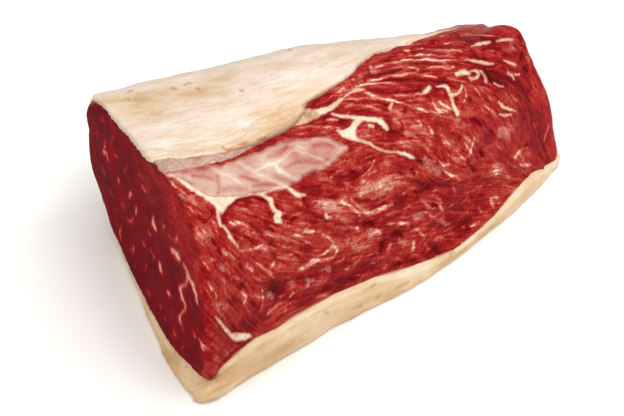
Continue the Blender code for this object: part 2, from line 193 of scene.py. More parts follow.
# Dark splits between bundles, and shadowed hollows under the edges of the seam fat
SPLITS_AND_SHADED_HOLLOWS = (
    ((222, 214, 1.2), (223, 219, 2), (226, 223, 1.6)),
    ((226, 210, 0.8), (233, 203.5, 1), (241, 200, 1), (255, 198, 1), (264, 201, 0.8)),
    ((275, 202, 1), (277, 208, 1.4), (282, 211, 0.8)), ((284, 217, 1.2), (289, 220, 2.4), (294, 218, 1.4)),
    ((303, 199, 1.2), (305, 205, 1.6), (311, 207, 1.2), (316, 203, 1)),
    ((308, 193, 0.8), (320, 196, 1.1), (333, 197, 0.8)), ((265, 224, 0.7), (270, 229, 1), (273, 231, 0.7)),
    ((244, 236, 0.6), (252, 242, 0.9), (258, 246, 0.6)),
    ((250, 222, 0.5), (258, 230, 0.9), (262, 235, 0.6)),
    ((290, 237, 0.4), (303, 243, 0.7), (311, 248, 0.4)),
    ((268, 243, 0.4), (285, 250, 0.7), (298, 256, 0.5)),
    ((260, 250, 0.4), (275, 258, 0.6), (288, 264, 0.4)),
    ((218, 266, 0.6), (226, 275, 0.9), (234, 283, 0.8), (241, 291, 0.5)),
    ((232, 276, 0.6), (240, 284, 0.8), (247, 292, 0.5)), ((236, 257, 0.6), (241, 268, 0.8)),
    ((202, 263, 0.6), (208, 272, 0.7)), ((196, 219, 0.6), (204, 222, 0.9), (212, 216, 0.7)),
    ((210, 235, 0.5), (215, 246, 0.8), (222, 256, 0.5)), ((250, 301, 0.6), (256, 309, 0.8)),
    ((388, 121, 1.3), (389.5, 128, 1.9), (394, 132.5, 2.4), (400, 132, 1.2)),
    ((400, 120, 0.8), (403, 126, 0.9), (402, 131, 0.8)),
    ((471, 118, 0.8), (475, 121, 1.8), (480, 126, 0.8)),
    ((480, 147, 0.9), (482, 152, 1.7), (482, 157, 0.9)), ((456, 144, 0.8), (461, 148.5, 0.9)),
    ((417, 159, 0.9), (421, 163, 1.7), (426, 164, 0.8)), ((437, 84, 0.7), (445, 84.5, 1), (455, 86, 0.7)),
    ((453, 99, 1.4), (457, 101, 1.4)), ((482, 85, 1.6), (488, 88, 1.6)), ((470, 96, 1.1), (471, 99, 1.1)),
    ((471, 50, 1), (475, 53, 1.4), (478, 56, 1)), ((486, 72, 1), (490, 78, 1.3), (492, 82, 0.8)),
    ((405, 108, 1.2), (404, 112, 1.2)), ((519, 36, 1), (521, 42, 1)), ((522, 53, 0.8), (521, 60, 0.8)),
    ((527, 144, 1.2), (524, 150, 1.4)), ((524, 68, 1.6), (527, 72, 1.6)), ((427, 96, 0.8), (430, 100, 0.8)),
    ((434, 88, 2.2), (436, 91, 2.2)), ((378, 73, 0.6), (395, 71.5, 0.9), (412, 64, 0.6), (440, 63.5, 0.6)),
    ((380, 81, 0.6), (400, 79.5, 1), (425, 80, 1), (445, 79, 0.6)),
    ((368, 92, 0.6), (390, 93, 1.1), (420, 90.5, 0.8)), ((376, 101, 0.5), (388, 107, 0.8)),
    ((350, 110.5, 0.5), (375, 113, 0.7), (392, 118, 0.5)),
    ((350, 172, 1), (358, 174, 1.6), (352, 178, 0.9)), ((397, 172, 1), (405, 176, 1)),
    ((411, 170, 1.2), (414, 175, 1.2)), ((440, 168, 0.9), (444, 174, 0.9)),
    ((461, 168, 0.9), (469, 166, 1.1), (474, 172, 0.9)), ((362, 222, 1.2), (372, 224, 1.2)),
    ((356, 198, 0.6), (370, 201, 1), (385, 196, 0.7)), ((403, 190, 0.6), (418, 191, 0.9), (428, 186, 0.6)),
    ((393, 236, 2), (397, 231, 2), (402, 236, 1.6)), ((380, 251, 1.6), (382, 244, 2)),
    ((432, 205, 1.5), (437, 207, 1.5)), ((434, 249, 1.7), (437, 251, 1.7)),
    ((395, 265, 1.2), (401, 264, 1.2)), ((231, 343, 0.6), (240, 343, 1.1), (250, 340.5, 0.8)),
    ((346, 118, 2), (340, 120, 1.8)), ((219, 366, 0.8), (228, 357, 1.3), (238, 348, 1.2), (246, 343, 0.8)),
)
# Pale seams that cross the silverskin
SKIN_SEAMS = (
    ((209, 166, 0.5), (221, 173, 0.9), (232, 178, 0.7), (240, 184, 0.4)),
    ((237, 162, 0.7), (254, 171, 1.4), (267, 178, 1.3), (285, 186, 1)),
    ((255, 171, 0.7), (266, 166, 1), (275, 163, 1.1), (286, 156, 0.8), (293, 150, 0.9), (304, 153, 0.9),
     (318, 158, 0.7), (333, 166, 0.5)),
    ((275, 163, 0.9), (280, 170, 1), (296, 179, 0.5)), ((290, 151, 0.5), (298, 147, 0.8), (306, 150, 0.5)),
)
# Red that shows through the silverskin
SKIN_REDS = (
    ((184, 172, 1.2), (200, 169, 1.8), (215, 168.5, 1)),
    ((192, 176, 0.5), (203, 176, 0.8), (214, 179, 0.6)), ((276, 175, 1), (283, 178, 1.8), (290, 181, 1)),
    ((222, 190, 0.7), (232, 188, 1.2), (246, 189, 0.7)),
    ((254, 186, 0.6), (266, 184, 1.1), (276, 184, 0.8)),
    ((286, 167, 0.5), (293, 163, 0.8), (300, 161, 0.6)),
    ((217.5, 176, 0.3), (218.5, 185, 0.45), (217.5, 193, 0.3)),
    ((268, 158, 0.7), (280, 152, 1.1), (286, 147, 0.6)),
    ((304, 160, 0.8), (318, 164, 1.2), (328, 160, 0.6)),
    ((240, 176, 0.4), (248, 179, 0.7), (258, 180, 0.4)), ((172, 180, 0.8), (180, 180, 1), (190, 184, 0.6)),
    ((312, 146, 0.6), (324, 144, 0.9), (334, 147, 0.6)),
)
# Small flecks and veins of fat on the cut end
CUT_FLECKS = (
    ((103, 151, 0.8), (105, 154, 1.3), (103, 156, 0.5)), ((102, 119, 0.7), (104, 122, 0.7)),
    ((131, 193, 0.9), (129, 198, 0.9)), ((136, 208, 0.8), (136, 213, 1)),
    ((105, 141, 0.4), (105, 148, 0.6)), ((113, 137, 0.4), (112, 142, 0.5)),
    ((104, 168, 0.5), (105, 175, 0.7)), ((127, 219, 0.5), (131, 222, 0.8), (134, 217, 0.6)),
    ((154, 216, 0.6), (153, 223, 1.2), (156, 232, 0.6)), ((163, 225, 0.4), (164, 229, 0.6)),
    ((168, 234, 0.3), (173, 240, 0.5)), ((177, 236, 0.5), (176, 241, 0.7)),
    ((172, 249, 0.9), (176, 254, 2.1), (179, 260, 1.4)),
    ((129, 250, 0.4), (133, 248, 0.8), (131, 254, 0.5)), ((136, 262, 0.5), (135, 267, 0.5)),
    ((160, 263, 0.8), (161, 268, 1.1), (163, 275, 0.4)), ((146, 265, 0.4), (145, 270, 0.5)),
    ((168, 292, 0.9), (169, 296, 0.9)),
    ((183, 263, 0.5), (188, 274, 1), (187, 283, 0.9), (180, 289, 1.1), (183, 300, 1), (186, 307, 0.8),
     (181, 314, 1.1), (181, 322, 0.7), (184, 332, 0.3)),
    ((188, 276, 1.1), (193, 284, 1.4), (196, 294, 1.1), (198, 304, 0.6)),
    ((166, 317, 0.6), (166, 320, 0.7)), ((184, 346, 0.4), (183, 350, 0.4)),
    ((201, 341, 0.4), (204, 350, 0.5)), ((206, 319, 0.4), (208, 328, 0.5)),
    ((122, 225, 0.3), (119, 233, 0.5), (121, 240, 0.3)), ((148, 231, 0.3), (151, 236, 0.5)),
    ((199, 338, 0.3), (209, 352, 0.4)), ((115, 208, 0.4), (114, 212, 0.5)),
    ((158, 336, 0.3), (160, 341, 0.4)), ((100, 170, 0.4), (103, 168, 0.6)),
    ((107, 156, 0.3), (108, 161, 0.4)), ((190, 300, 0.3), (193, 308, 0.4)),
    ((118, 176, 0.4), (119, 182, 0.7)), ((142, 186, 0.5), (146, 192, 0.6)),
    ((126, 166, 0.4), (124, 172, 0.4)), ((110, 190, 0.4), (112, 197, 0.5)),
    ((150, 250, 0.5), (153, 256, 0.8), (152, 261, 0.4)), ((121, 204, 0.4), (124, 208, 0.6)),
    ((147, 290, 0.4), (150, 296, 0.7)), ((159, 304, 0.5), (161, 309, 0.5)),
    ((174, 330, 0.4), (176, 337, 0.6)), ((192, 330, 0.5), (195, 338, 0.7)),
    ((142, 240, 0.4), (145, 246, 0.5)), ((96, 130, 0.4), (98, 136, 0.5)),
    ((114, 152, 0.3), (117, 158, 0.5)), ((139, 173, 0.3), (143, 178, 0.5)),
)
# Outline of the pink silverskin on the bare face
SILVERSKIN = (
    (165, 174), (190, 169), (220, 167), (242, 159), (262, 152), (276, 144), (292, 139), (312, 138),
    (330, 136), (342, 143), (351, 149), (341, 156), (334, 163), (323, 170), (306, 176), (296, 183),
    (288, 187), (266, 191), (243, 194), (220, 197), (203, 195), (187, 184),
)
# The side of the top fat under its lip, painted greyish pink: painted shade over the thin skin on that side
LIP_SIDE = (
    (146, 160), (156, 156), (177, 152), (202, 150), (225, 147), (240, 140), (258, 132), (276, 124),
    (292, 116), (293, 122), (286, 129), (276, 136), (264, 142), (250, 149), (236, 157), (222, 161.5),
    (205, 165.5), (190, 168.5), (165, 173.5), (155, 174.5),
)
# Where the lean rises over the edge of the top fat
TONGUE = (
    (304, 105), (309, 100), (320, 95), (332, 87), (344, 83), (350, 80), (353, 75), (358, 71), (358, 66),
    (368, 56.5), (380, 51), (388, 47), (402, 43), (416, 39.5), (430, 36), (444, 31), (458, 25), (470, 15),
    (500, 20), (500, 60), (420, 100), (340, 130), (306, 114),
)
# The rounded front corner of the cut end, brighter than the rest of it
CORNER_BAND = (
    (141, 158), (151, 170), (157, 185), (165, 201), (170, 221), (182, 252), (187, 267), (196, 283),
    (203, 305), (205, 330), (200, 350), (206, 372), (212, 380), (216, 326), (209, 290), (201, 252),
    (196, 237), (192, 221), (180, 201), (169, 178), (156, 172),
)
# Paler (+) and darker (-) areas of the bare face, as x, y, two half sizes, slope and strength: the meat's
# own tone, with painted light on its lumps and painted shade in its hollows
AREAS = (
    (184, 196, 13, 9, 40, 0.08), (198, 207, 9, 7, 30, 0.06), (198, 232, 7, 11, 0, 0.14),
    (212, 228, 6, 9, 0, 0.08), (207, 250, 7, 11, -20, 0.06), (224, 268, 8, 8, 0, 0.05),
    (245, 297, 5, 8, 0, 0.08), (222, 306, 9, 7, 0, 0.06), (235, 223, 7, 3, 10, 0.14),
    (255, 230, 18, 7, 25, 0.10), (290, 232, 25, 8, 20, 0.08), (280, 254, 26, 8, 22, 0.05),
    (252, 207, 10, 5, 0, -0.03), (325, 207, 16, 8, 5, 0.14), (338, 215, 12, 6, 20, 0.10),
    (348, 204, 8, 6, 30, 0.08), (376, 188, 17, 8, -18, 0.30), (356, 243, 12, 7, -12, 0.16),
    (373, 235, 8, 6, 0, 0.14), (404, 243, 8, 7, 0, 0.08), (330, 242, 8, 6, 0, 0.10),
    (400, 120, 15, 7, 20, 0.08), (428, 133, 9, 7, 30, 0.10), (405, 144, 10, 4, 10, 0.18),
    (390, 158, 8, 5, -30, 0.18), (440, 108, 20, 8, 30, 0.10), (466, 98, 7, 12, 0, 0.08),
    (487, 113, 8, 7, 0, 0.10), (469, 140, 7, 15, 15, 0.10), (447, 145, 7, 5, 0, 0.08),
    (496, 170, 6, 6, 0, 0.22), (524, 155, 9, 6, 0, 0.14), (508, 130, 11, 7, 0, 0.07),
    (495, 150, 10, 9, 0, 0.05), (348, 92, 13, 8, -20, 0.10), (365, 133, 8, 6, 0, 0.12),
    (412, 172, 9, 7, 0, 0.10), (375, 150, 14, 4, 20, 0.06), (323, 282, 8, 5, -30, 0.08),
    (350, 165, 15, 5, -25, 0.04), (247, 207, 20, 6, 0, 0.03), (292, 199, 11, 8, 20, 0.05),
    (320, 184, 20, 7, 5, -0.10), (345, 177, 12, 4, -10, -0.08), (272, 292, 9, 8, -40, -0.22),
    (290, 281, 13, 6, -35, -0.16), (307, 273, 12, 5, -20, -0.14), (336, 266, 15, 5, -15, -0.14),
    (252, 322, 14, 6, -32, -0.18), (232, 300, 6, 4, 0, -0.14), (366, 222, 12, 5, 0, -0.14),
    (383, 242, 7, 8, 0, -0.14), (397, 232, 7, 6, 0, -0.14), (400, 200, 28, 5, -18, -0.10),
    (455, 212, 28, 9, -35, -0.07), (402, 264, 18, 5, -20, -0.08), (506, 86, 12, 8, 0, -0.10),
    (527, 112, 11, 24, -10, -0.12), (494, 136, 8, 8, 0, -0.08), (442, 127, 16, 6, 0, -0.06),
    (350, 276, 40, 5, -25, -0.15), (420, 256, 24, 5, -20, -0.10), (300, 295, 10, 4, -25, -0.08),
    (265, 215, 10, 4, 0, -0.06), (540, 145, 8, 16, 0, -0.05), (470, 186, 16, 6, -30, -0.08),
    (430, 182, 12, 5, -10, -0.10), (262, 128, 30, 5, -22, -0.05), (200, 219, 8, 4, 0, -0.10),
    (318, 152, 20, 9, 0, -0.17), (300, 172, 12, 6, 10, -0.10), (230, 184, 24, 6, 8, 0.08),
    (272, 168, 18, 6, 20, 0.06), (540, 140, 10, 26, 0, -0.10), (523, 86, 10, 14, 0, -0.06),
    (480, 66, 26, 12, 0, -0.03), (460, 38, 42, 8, 0, -0.12), (495, 62, 26, 22, 0, -0.06),
    (184, 200, 14, 12, 40, -0.08), (245, 322, 26, 8, -35, -0.08), (330, 285, 40, 7, -25, -0.08),
    (470, 222, 26, 6, -45, -0.08), (492, 76, 20, 8, 10, -0.14), (355, 195, 12, 6, 0, 0.10),
    (322, 200, 10, 6, 0, 0.10), (322, 101, 16, 6, -20, -0.10), (328, 120, 18, 5, 5, -0.12),
    (412, 119, 18, 10, 10, 0.09), (315, 180, 14, 8, 0, 0.08), (445, 130, 14, 9, 0, 0.08),
    (430, 52, 34, 7, 0, -0.08), (306, 117, 14, 6, -30, -0.14), (330, 107, 14, 4, -30, -0.08),
    (445, 240, 18, 6, -30, -0.08), (277, 296, 16, 7, -35, -0.08), (318, 262, 16, 6, -20, 0.05),
)
# Where the tan veins of the top fat start, and where they crowd along its lip
FAT_SHOWN = (
    (95, 104), (150, 85), (240, 62), (330, 48), (420, 36), (360, 75), (305, 106), (270, 132), (225, 148),
    (155, 158), (130, 150), (110, 120),
)
ALONG_LIP = (
    (128, 138), (150, 148), (215, 138), (262, 120), (300, 98), (300, 108), (268, 133), (225, 149),
    (190, 155), (155, 158),
)
# Where nets of fine fat cluster on the bare face, as (x, y, radius)
FAT_NETS = (
    (352, 243, 13), (372, 235, 9), (402, 241, 9), (291, 283, 9), (310, 283, 9), (268, 296, 7),
    (374, 262, 8), (426, 164, 10), (512, 48, 11), (444, 224, 9), (328, 271, 8), (374, 188, 15),
    (186, 196, 14), (206, 236, 12), (222, 306, 9), (330, 208, 14), (505, 134, 11), (420, 214, 9),
    (224, 268, 8), (437, 172, 10),
)
# Outlines as first modelled, as (x, y, right, down): how far they move, in pixels, to match the real ones
NUDGES = (
    # the left side, down to the floor
    ((93, 103, -8, -4), (90.5, 112, -8, -1), (91, 130, -4, 0), (94, 150, -6, 0), (99.5, 170, -7, 0),
     (105, 190, -5.5, 0), (111, 210, -5, 0), (118.5, 230, -5, 0), (125, 250, -3.5, 0), (130, 270, 0, 0),
     (137, 290, 0, 0), (146, 310, -3, 0), (155, 330, -2.5, 1), (164, 350, -3.5, 1.5), (174, 370, -3, 1),
     (187, 390, -4, 0), (197, 399, -3, 1)),
    # the lower edge of the cut face
    ((115, 222, -5, 2), (125, 243, -6, 3.5), (135, 262, -7.5, 4.5), (155, 300, -7, 4.5),
     (175, 334, -7, 4.5), (188, 357, -5, 2), (200, 375, -2, -2), (208, 386, 1, -6), (216, 377, 1, -1)),
    # the top, to the right
    ((95, 100, -2, -3.5), (115, 92, 0, -2.5), (135, 86, 0, -2), (155, 80, 0, -1), (175, 74, 0, 0),
     (195, 69, 0, 1.2), (215, 65, 0, 1.5), (235, 60, 0, 0.5), (255, 56, 0, -0.5), (275, 53, 0, -2.5),
     (295, 50, 0, -4), (315, 47, 0, -3.5), (335, 44, 0, -2), (355, 41, 0, -1), (375, 38, 0, 0),
     (395, 36, 0, 0.7), (415, 33, 0, 0), (435, 31, 0, -1.5), (455, 28, 0, -2.5), (475, 24, 0, -1),
     (495, 23, 0, -3.5), (505, 26, 3, -3), (511, 30, 6, -2), (522, 42, 2, 0)),
    # the right end, down to the floor and back along it
    ((527, 50, 0, 0), (535, 66, 0, 0), (542, 90, 3, 0), (548, 110, 3, 0), (552, 130, 1.5, 0),
     (553, 150, 2.5, 0), (554, 170, 1, 0), (532, 190, 3, 2), (511, 210, 2.5, 1.5), (491, 230, 0, 0),
     (467, 250, 0, 0), (435, 270, 1.5, 1.5), (396, 290, 2.5, 4), (354, 310, 2, 4.5), (325, 330, 0.5, 1),
     (296, 350, 0, 0), (255, 374, 0, 0), (235, 385, 0, 1.5), (216, 392, 1, 4), (206, 399, 0, 2)),
    # the lower edge of the bare face
    ((220, 370, 0, 0.5), (235, 351, 0, 4), (255, 335, 0, 3.5), (275, 324, 0, 6.5), (295, 312, 0, 4),
     (315, 299, 0, 6), (335, 289, 0, 5.5), (355, 282, 0, 5), (375, 275, 0, 3), (395, 267, 0, 4.5),
     (415, 264, 0, 2), (455, 246, 0, 4), (475, 227, 0, 7), (495, 206, 0, 10), (515, 185, 0, 6),
     (535, 171, 0, 2.5)),
)
# Slope of the fibres at points of the picture, in degrees down to the right
GRAIN = (
    (185, 200, 45), (200, 212, 50), (213, 245, 62), (228, 285, 58), (205, 300, 72), (240, 315, 62),
    (225, 350, 55), (245, 207, 8), (250, 232, 33), (275, 235, 27), (305, 242, 24), (328, 230, 20),
    (270, 257, 30), (300, 257, 18), (275, 298, -42), (300, 285, -38), (330, 268, -24), (360, 255, -28),
    (400, 245, -25), (440, 225, -32), (480, 205, -42), (285, 310, -38), (330, 110, -22), (350, 88, -20),
    (375, 72, -18), (400, 60, -8), (440, 50, 0), (490, 50, 4), (400, 85, -2), (440, 70, 4), (480, 62, 8),
    (350, 100, -4), (380, 102, 14), (420, 118, 32), (455, 125, 50), (465, 150, 75), (400, 148, 15),
    (500, 100, 55), (520, 130, 70), (530, 80, 62), (545, 130, 78), (515, 55, 40), (380, 140, 14),
    (360, 165, -28), (335, 185, 5), (330, 205, 8), (375, 190, -22), (410, 195, -22), (445, 190, -30),
    (490, 175, -30), (350, 215, 20), (400, 225, -22), (500, 160, 30), (430, 170, 60), (200, 180, 20),
    (270, 165, -18), (320, 150, -12),
)
# Where the fat runs along the joint, for the lines in the top fat
FAT_GRAIN = (
    (100, 105, -10), (160, 90, -16), (220, 75, -14), (280, 60, -10), (340, 45, -5), (130, 140, -8),
    (170, 150, -3), (210, 150, -4), (250, 138, -30), (290, 120, -28), (200, 120, -8), (260, 100, -16),
    (310, 85, -28), (340, 70, -24),
)
# Tan stains (+) and whiter islands (-) of the top fat, as x, y, two half sizes, slope and strength
FAT_AREAS = (
    (172, 96, 40, 11, -10, 0.20), (125, 108, 22, 10, -20, 0.12), (204, 92, 24, 6, -6, 0.12),
    (222, 76, 30, 6, -14, 0.06), (150, 130, 14, 20, 10, 0.05), (235, 148, 16, 4, -30, 0.20),
    (262, 134, 22, 4, -26, 0.22), (292, 118, 18, 4, -32, 0.22), (323, 54, 7, 4, 0, -0.22),
    (287, 60, 8, 4, 0, -0.16), (276, 80, 14, 7, -15, -0.16), (300, 78, 16, 9, -20, -0.14),
    (250, 105, 22, 9, -15, -0.14), (117, 110, 5, 3, 0, -0.24), (205, 120, 24, 7, -12, -0.12),
    (170, 125, 14, 6, 0, -0.10), (330, 70, 12, 8, -30, -0.12), (165, 143, 20, 5, -4, -0.14),
    (212, 140, 22, 6, -10, -0.12),
)
# Small brown and dark spots of the top fat
FAT_SPOTS = (
    ((128, 92, 0.3), (130, 91.3, 0.7), (133, 90.5, 0.2)),
    ((171, 88.6, 0.3), (174, 89.2, 0.7), (177, 89.8, 0.3)),
    ((196, 88.2, 0.3), (198, 88.5, 0.9), (200, 88.8, 0.4)), ((240, 90.5, 0.3), (243, 91.2, 0.7)),
    ((184, 86, 0.2), (187, 84, 0.4), (191, 83.5, 0.2)), ((289, 50, 0.9), (291, 50, 0.7)),
    ((136, 143.5, 0.8), (137, 144, 0.9)), ((258, 140, 0.8), (261, 139, 1.4), (265, 137.5, 0.7)),
    ((222, 147, 0.5), (228, 150, 0.8), (233, 147, 0.4)), ((238, 145, 0.5), (246, 143, 0.7)),
    ((128, 98, 0.2), (129, 100, 0.5)),
)
# Slope of the lines in the cap, its tan stains, and its darker (+) and brighter (-) areas
CAP_GRAIN = (
    (200, 385, -30), (240, 360, -35), (300, 325, -28), (380, 288, -22), (440, 262, -32), (500, 220, -42),
    (545, 180, -55), (150, 340, 62), (180, 380, 55),
)
CAP_STAINS = (
    ((326, 313, 0.9), (328, 314, 0.9)), ((352, 309, 0.6), (358, 307, 1.2), (361, 305, 0.8)),
    ((370, 288, 0.8), (374, 285, 1)), ((396, 288, 0.5), (404, 284, 0.9), (408, 282, 0.6)),
    ((449, 257, 0.7), (452, 253, 1.2)), ((376, 298, 0.6), (380, 296, 0.9)),
    ((186, 367, 0.6), (189, 368, 0.7)), ((205, 377, 1.2), (211, 379, 1.2)),
)
CAP_AREAS = (
    (170, 358, 10, 9, 45, 0.16), (212, 386, 12, 8, -20, 0.10), (496, 222, 34, 10, -45, 0.10),
    (222, 372, 12, 6, -30, 0.14), (385, 296, 26, 4, -22, 0.12), (445, 258, 14, 8, -30, 0.12),
    (238, 372, 14, 4, -30, -0.04), (290, 337, 40, 3, -28, -0.10), (400, 276, 25, 3, -12, -0.12),
    (140, 315, 12, 8, 60, 0.06),
)
# The whole bare side of the meat, with its skin and its tongue
BARE_AND_SKIN = (
    (160, 170), (240, 150), (300, 105), (345, 75), (380, 40), (440, 22), (520, 20), (560, 110), (566, 170),
    (520, 200), (480, 235), (430, 270), (350, 295), (262, 345), (205, 390), (205, 330), (190, 237),
    (165, 190),
)
# The same without them, where grown lines may start
BARE = (
    (300, 122), (345, 95), (380, 60), (440, 40), (518, 35), (545, 110), (552, 160), (520, 178), (480, 222),
    (430, 256), (350, 282), (260, 328), (215, 362), (212, 320), (195, 235), (175, 185), (240, 200),
    (300, 190), (355, 148),
)
# What closes the outline of all that lies below the bare face
BELOW_BARE = ((620, 150), (620, 430), (200, 430))

# Stretches of the picture over which a look comes in, from none to full, in pixels across or down.
# The bare face is calm towards its far end, and smooth along its top to the right
CALM_ACROSS = (485, 515)
CALM_FROM_TOP = (45, 75)
CALM_FROM_FOOT = (180, 155)
SMOOTH_ACROSS = (400, 430)
SMOOTH_TO_TOP = (62, 36)
# The meat is greyed and dulled where it turns edge-on to the view, over the far end and over the top to the
# right
GREYING_END = (514, 524)
GREYING_TOP = (436, 450)
GREYING_FOOT = 165
GREYING_TOP_FOOT = 50
# The silverskin is widest to the left
WIDE_SKIN = (300, 260)
# The side of the sheet's lip is painted a dusky pink, painted shade over its thin skin, and the sheet sinks
# where the tongue lies on it
PINK_SHADED_LIP = (180, 190)
SUNK_SHEET = (408, 436)
# The cap is brighter to the right, and has a painted highlight along the lean all the way but at its far
# end
BRIGHT_CAP = (200, 330)
SEAM_HIGHLIGHT = (520, 440)
CAP_TOP = 150

# Heights above the floor, in millimetres: what moves level with it, the crown of the sheet, the
# middle of the joint, the lowest that the tongue presses, and the cap's rim at the cut end
NEAR_FLOOR = (25, 8)
SHEET_CROWN = (64, 74)
JOINT_MIDDLE = 45
TONGUE_FOOT = 50
CAP_RIM = 12

# Lamps, as place, width and power, in metres and watts: a large one above the front, one at each side
LAMPS = (
    ((-0.1, -0.75, 1.2), 0.7, 9.2), ((0.6, -0.2, 0.9), 0.5, 2.5), ((-0.9, 0.2, 0.7), 0.6, 2.5),
)

# The ways that the two ends face, where the knife cut across the joint
CUT_TURN = math.radians(70)
CUT_WAY = np.array((-math.sin(CUT_TURN), math.cos(CUT_TURN), 0))
FAR_WAY = np.array((1.0, 0, 0))


def rgb(text):
    """A hex colour, as seen on a screen, turned to linear light."""
    parts = [int(text[i:i + 2], 16) / 255 for i in (0, 2, 4)]
    return tuple(c / 12.92 if c <= 0.04045 else ((c + 0.055) / 1.055) ** 2.4 for c in parts) + (1.0,)


def ease(low, high, x):
    """A smooth step from 0 at low to 1 at high."""
    t = np.clip((x - low) / (high - low), 0, 1)
    return t * t * (3 - 2 * t)


def fading(apart, width):
    """The soft profile of a drawn line: 1 along its middle, and almost 0 at twice this width from it."""
    return np.exp(-((apart / width) ** 2))


def only(obj):
    """Makes this the one selected and active object."""
    bpy.ops.object.select_all(action="DESELECT")
    obj.select_set(True)
    bpy.context.view_layer.objects.active = obj


def pick(piece, kind, chosen):
    """Opens a piece for editing with only the chosen vertices or faces selected."""
    only(piece)
    bpy.ops.object.mode_set(mode="EDIT")
    bpy.ops.mesh.select_mode(type=kind)
    bpy.ops.mesh.select_all(action="DESELECT")
    bpy.ops.object.mode_set(mode="OBJECT")
    elements = piece.data.vertices if kind == "VERT" else piece.data.polygons
    elements.foreach_set("select", chosen)
    bpy.ops.object.mode_set(mode="EDIT")


def finish_with(obj, kind, **settings):
    """Adds a modifier with its settings and applies it."""
    made = obj.modifiers.new(kind.lower(), kind)
    for name, value in settings.items():
        setattr(made, name, value)
    only(obj)
    bpy.ops.object.modifier_apply(modifier=made.name)


def places_and_normals(elements, place):
    """The places, read by that name, and the normals of vertices or faces, as arrays, in metres."""
    found = []
    for name in (place, "normal"):
        values = np.empty(len(elements) * 3)
        elements.foreach_get(name, values)
        found.append(values.reshape(-1, 3))
    return found


def points_of(piece):
    """The places and normals of a piece's vertices."""
    return places_and_normals(piece.data.vertices, "co")


def faces_of(piece):
    """The centres and normals of a piece's faces."""
    return places_and_normals(piece.data.polygons, "center")


def move_points(piece, co):
    piece.data.vertices.foreach_set("co", co.ravel())
    piece.data.update()


def store(piece, name, columns):
    """Keeps up to three numbers for each vertex, as a vector attribute."""
    values = np.zeros((len(piece.data.vertices), 3))
    for i, column in enumerate(columns):
        values[:, i] = column
    made = piece.data.attributes.new(name, "FLOAT_VECTOR", "POINT")
    made.data.foreach_set("vector", values.ravel())


def dress(piece, *materials):
    """Gives a piece its materials, in place of the ones that came with its CAD node."""
    piece.data.materials.clear()
    for material in materials:
        piece.data.materials.append(material)


def fine_copy(node, name, voxel, rounds):
    """A dense, smooth copy of a CAD node: merged, rounded between its facets, remeshed evenly, and
    moved to the picture's outlines."""
    only(frame["nodes"][node])
    bpy.ops.object.duplicate()
    piece = bpy.context.view_layer.objects.active
    piece.name = piece.data.name = name
    for key in list(piece.keys()):
        if key.startswith("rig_"):
            del piece[key]
    piece.parent = None
    only(piece)
    bpy.ops.object.mode_set(mode="EDIT")
    bpy.ops.mesh.select_all(action="SELECT")
    bpy.ops.mesh.remove_doubles(threshold=0.00002)
    bpy.ops.mesh.tris_convert_to_quads(face_threshold=math.radians(30), shape_threshold=math.radians(60))
    bpy.ops.mesh.select_all(action="DESELECT")
    bpy.ops.mesh.select_mode(type="EDGE")
    bpy.ops.mesh.edges_select_sharp(sharpness=math.radians(35))
    bpy.ops.transform.edge_crease(value=1.0)
    bpy.ops.mesh.select_mode(type="VERT")
    bpy.ops.object.mode_set(mode="OBJECT")
    finish_with(piece, "SUBSURF", levels=2, render_levels=2)
    finish_with(piece, "REMESH", mode="VOXEL", voxel_size=voxel * MM, adaptivity=0.0)
    drop_crumbs(piece)
    finish_with(piece, "SMOOTH", factor=0.5, iterations=rounds)
    bpy.ops.object.shade_smooth()
    match_outlines(piece)
    return piece


def drop_crumbs(piece):
    """Keeps only what hangs together with the highest point."""
    height = points_of(piece)[0][:, 2]
    pick(piece, "VERT", np.arange(len(height)) == height.argmax())
    bpy.ops.mesh.select_linked()
    bpy.ops.mesh.select_all(action="INVERT")
    bpy.ops.mesh.delete(type="VERT")
    bpy.ops.object.mode_set(mode="OBJECT")


def smooth_there(piece, chosen, rounds):
    """Smooths the surface some more at the chosen vertices."""
    group = piece.vertex_groups.new(name="smoothed")
    group.add(np.nonzero(chosen)[0].tolist(), 1.0, "REPLACE")
    finish_with(piece, "SMOOTH", factor=0.5, iterations=rounds, vertex_group=group.name)
    piece.vertex_groups.remove(piece.vertex_groups[0])


def refine(piece, chosen):
    """Splits the chosen faces in two each way."""
    pick(piece, "FACE", chosen)
    bpy.ops.mesh.subdivide(number_cuts=1, smoothness=0.6)
    bpy.ops.object.mode_set(mode="OBJECT")


def in_picture(co):
    """Where points in space show in the picture, in pixels."""
    away = co - np.array(EYE)
    depth = -away @ np.array(BACK)
    x = PICTURE[0] / 2 + FOCAL * (away @ np.array(RIGHT)) / depth
    y = PICTURE[1] / 2 - FOCAL * (away @ np.array(UP)) / depth
    return np.stack((x, y), axis=1)


def as_seen(co, normal):
    """Where points show in the picture, how squarely they face the camera from -1 to 1, and how far
    the picture shows them from 0 to 1."""
    facing = normal @ np.array(BACK)
    return in_picture(co), facing, ease(-0.05, 0.15, facing)


def from_stretch(pixels, a, b):
    """How far points of the picture are from a straight stretch of a line, and how far along it
    the nearest places lie, from 0 to 1."""
    run = b[:2] - a[:2]
    t = np.clip(((pixels - a[:2]) @ run) / max(run @ run, 1e-9), 0, 1)
    return np.linalg.norm(pixels - a[:2] - t[:, None] * run, axis=1), t


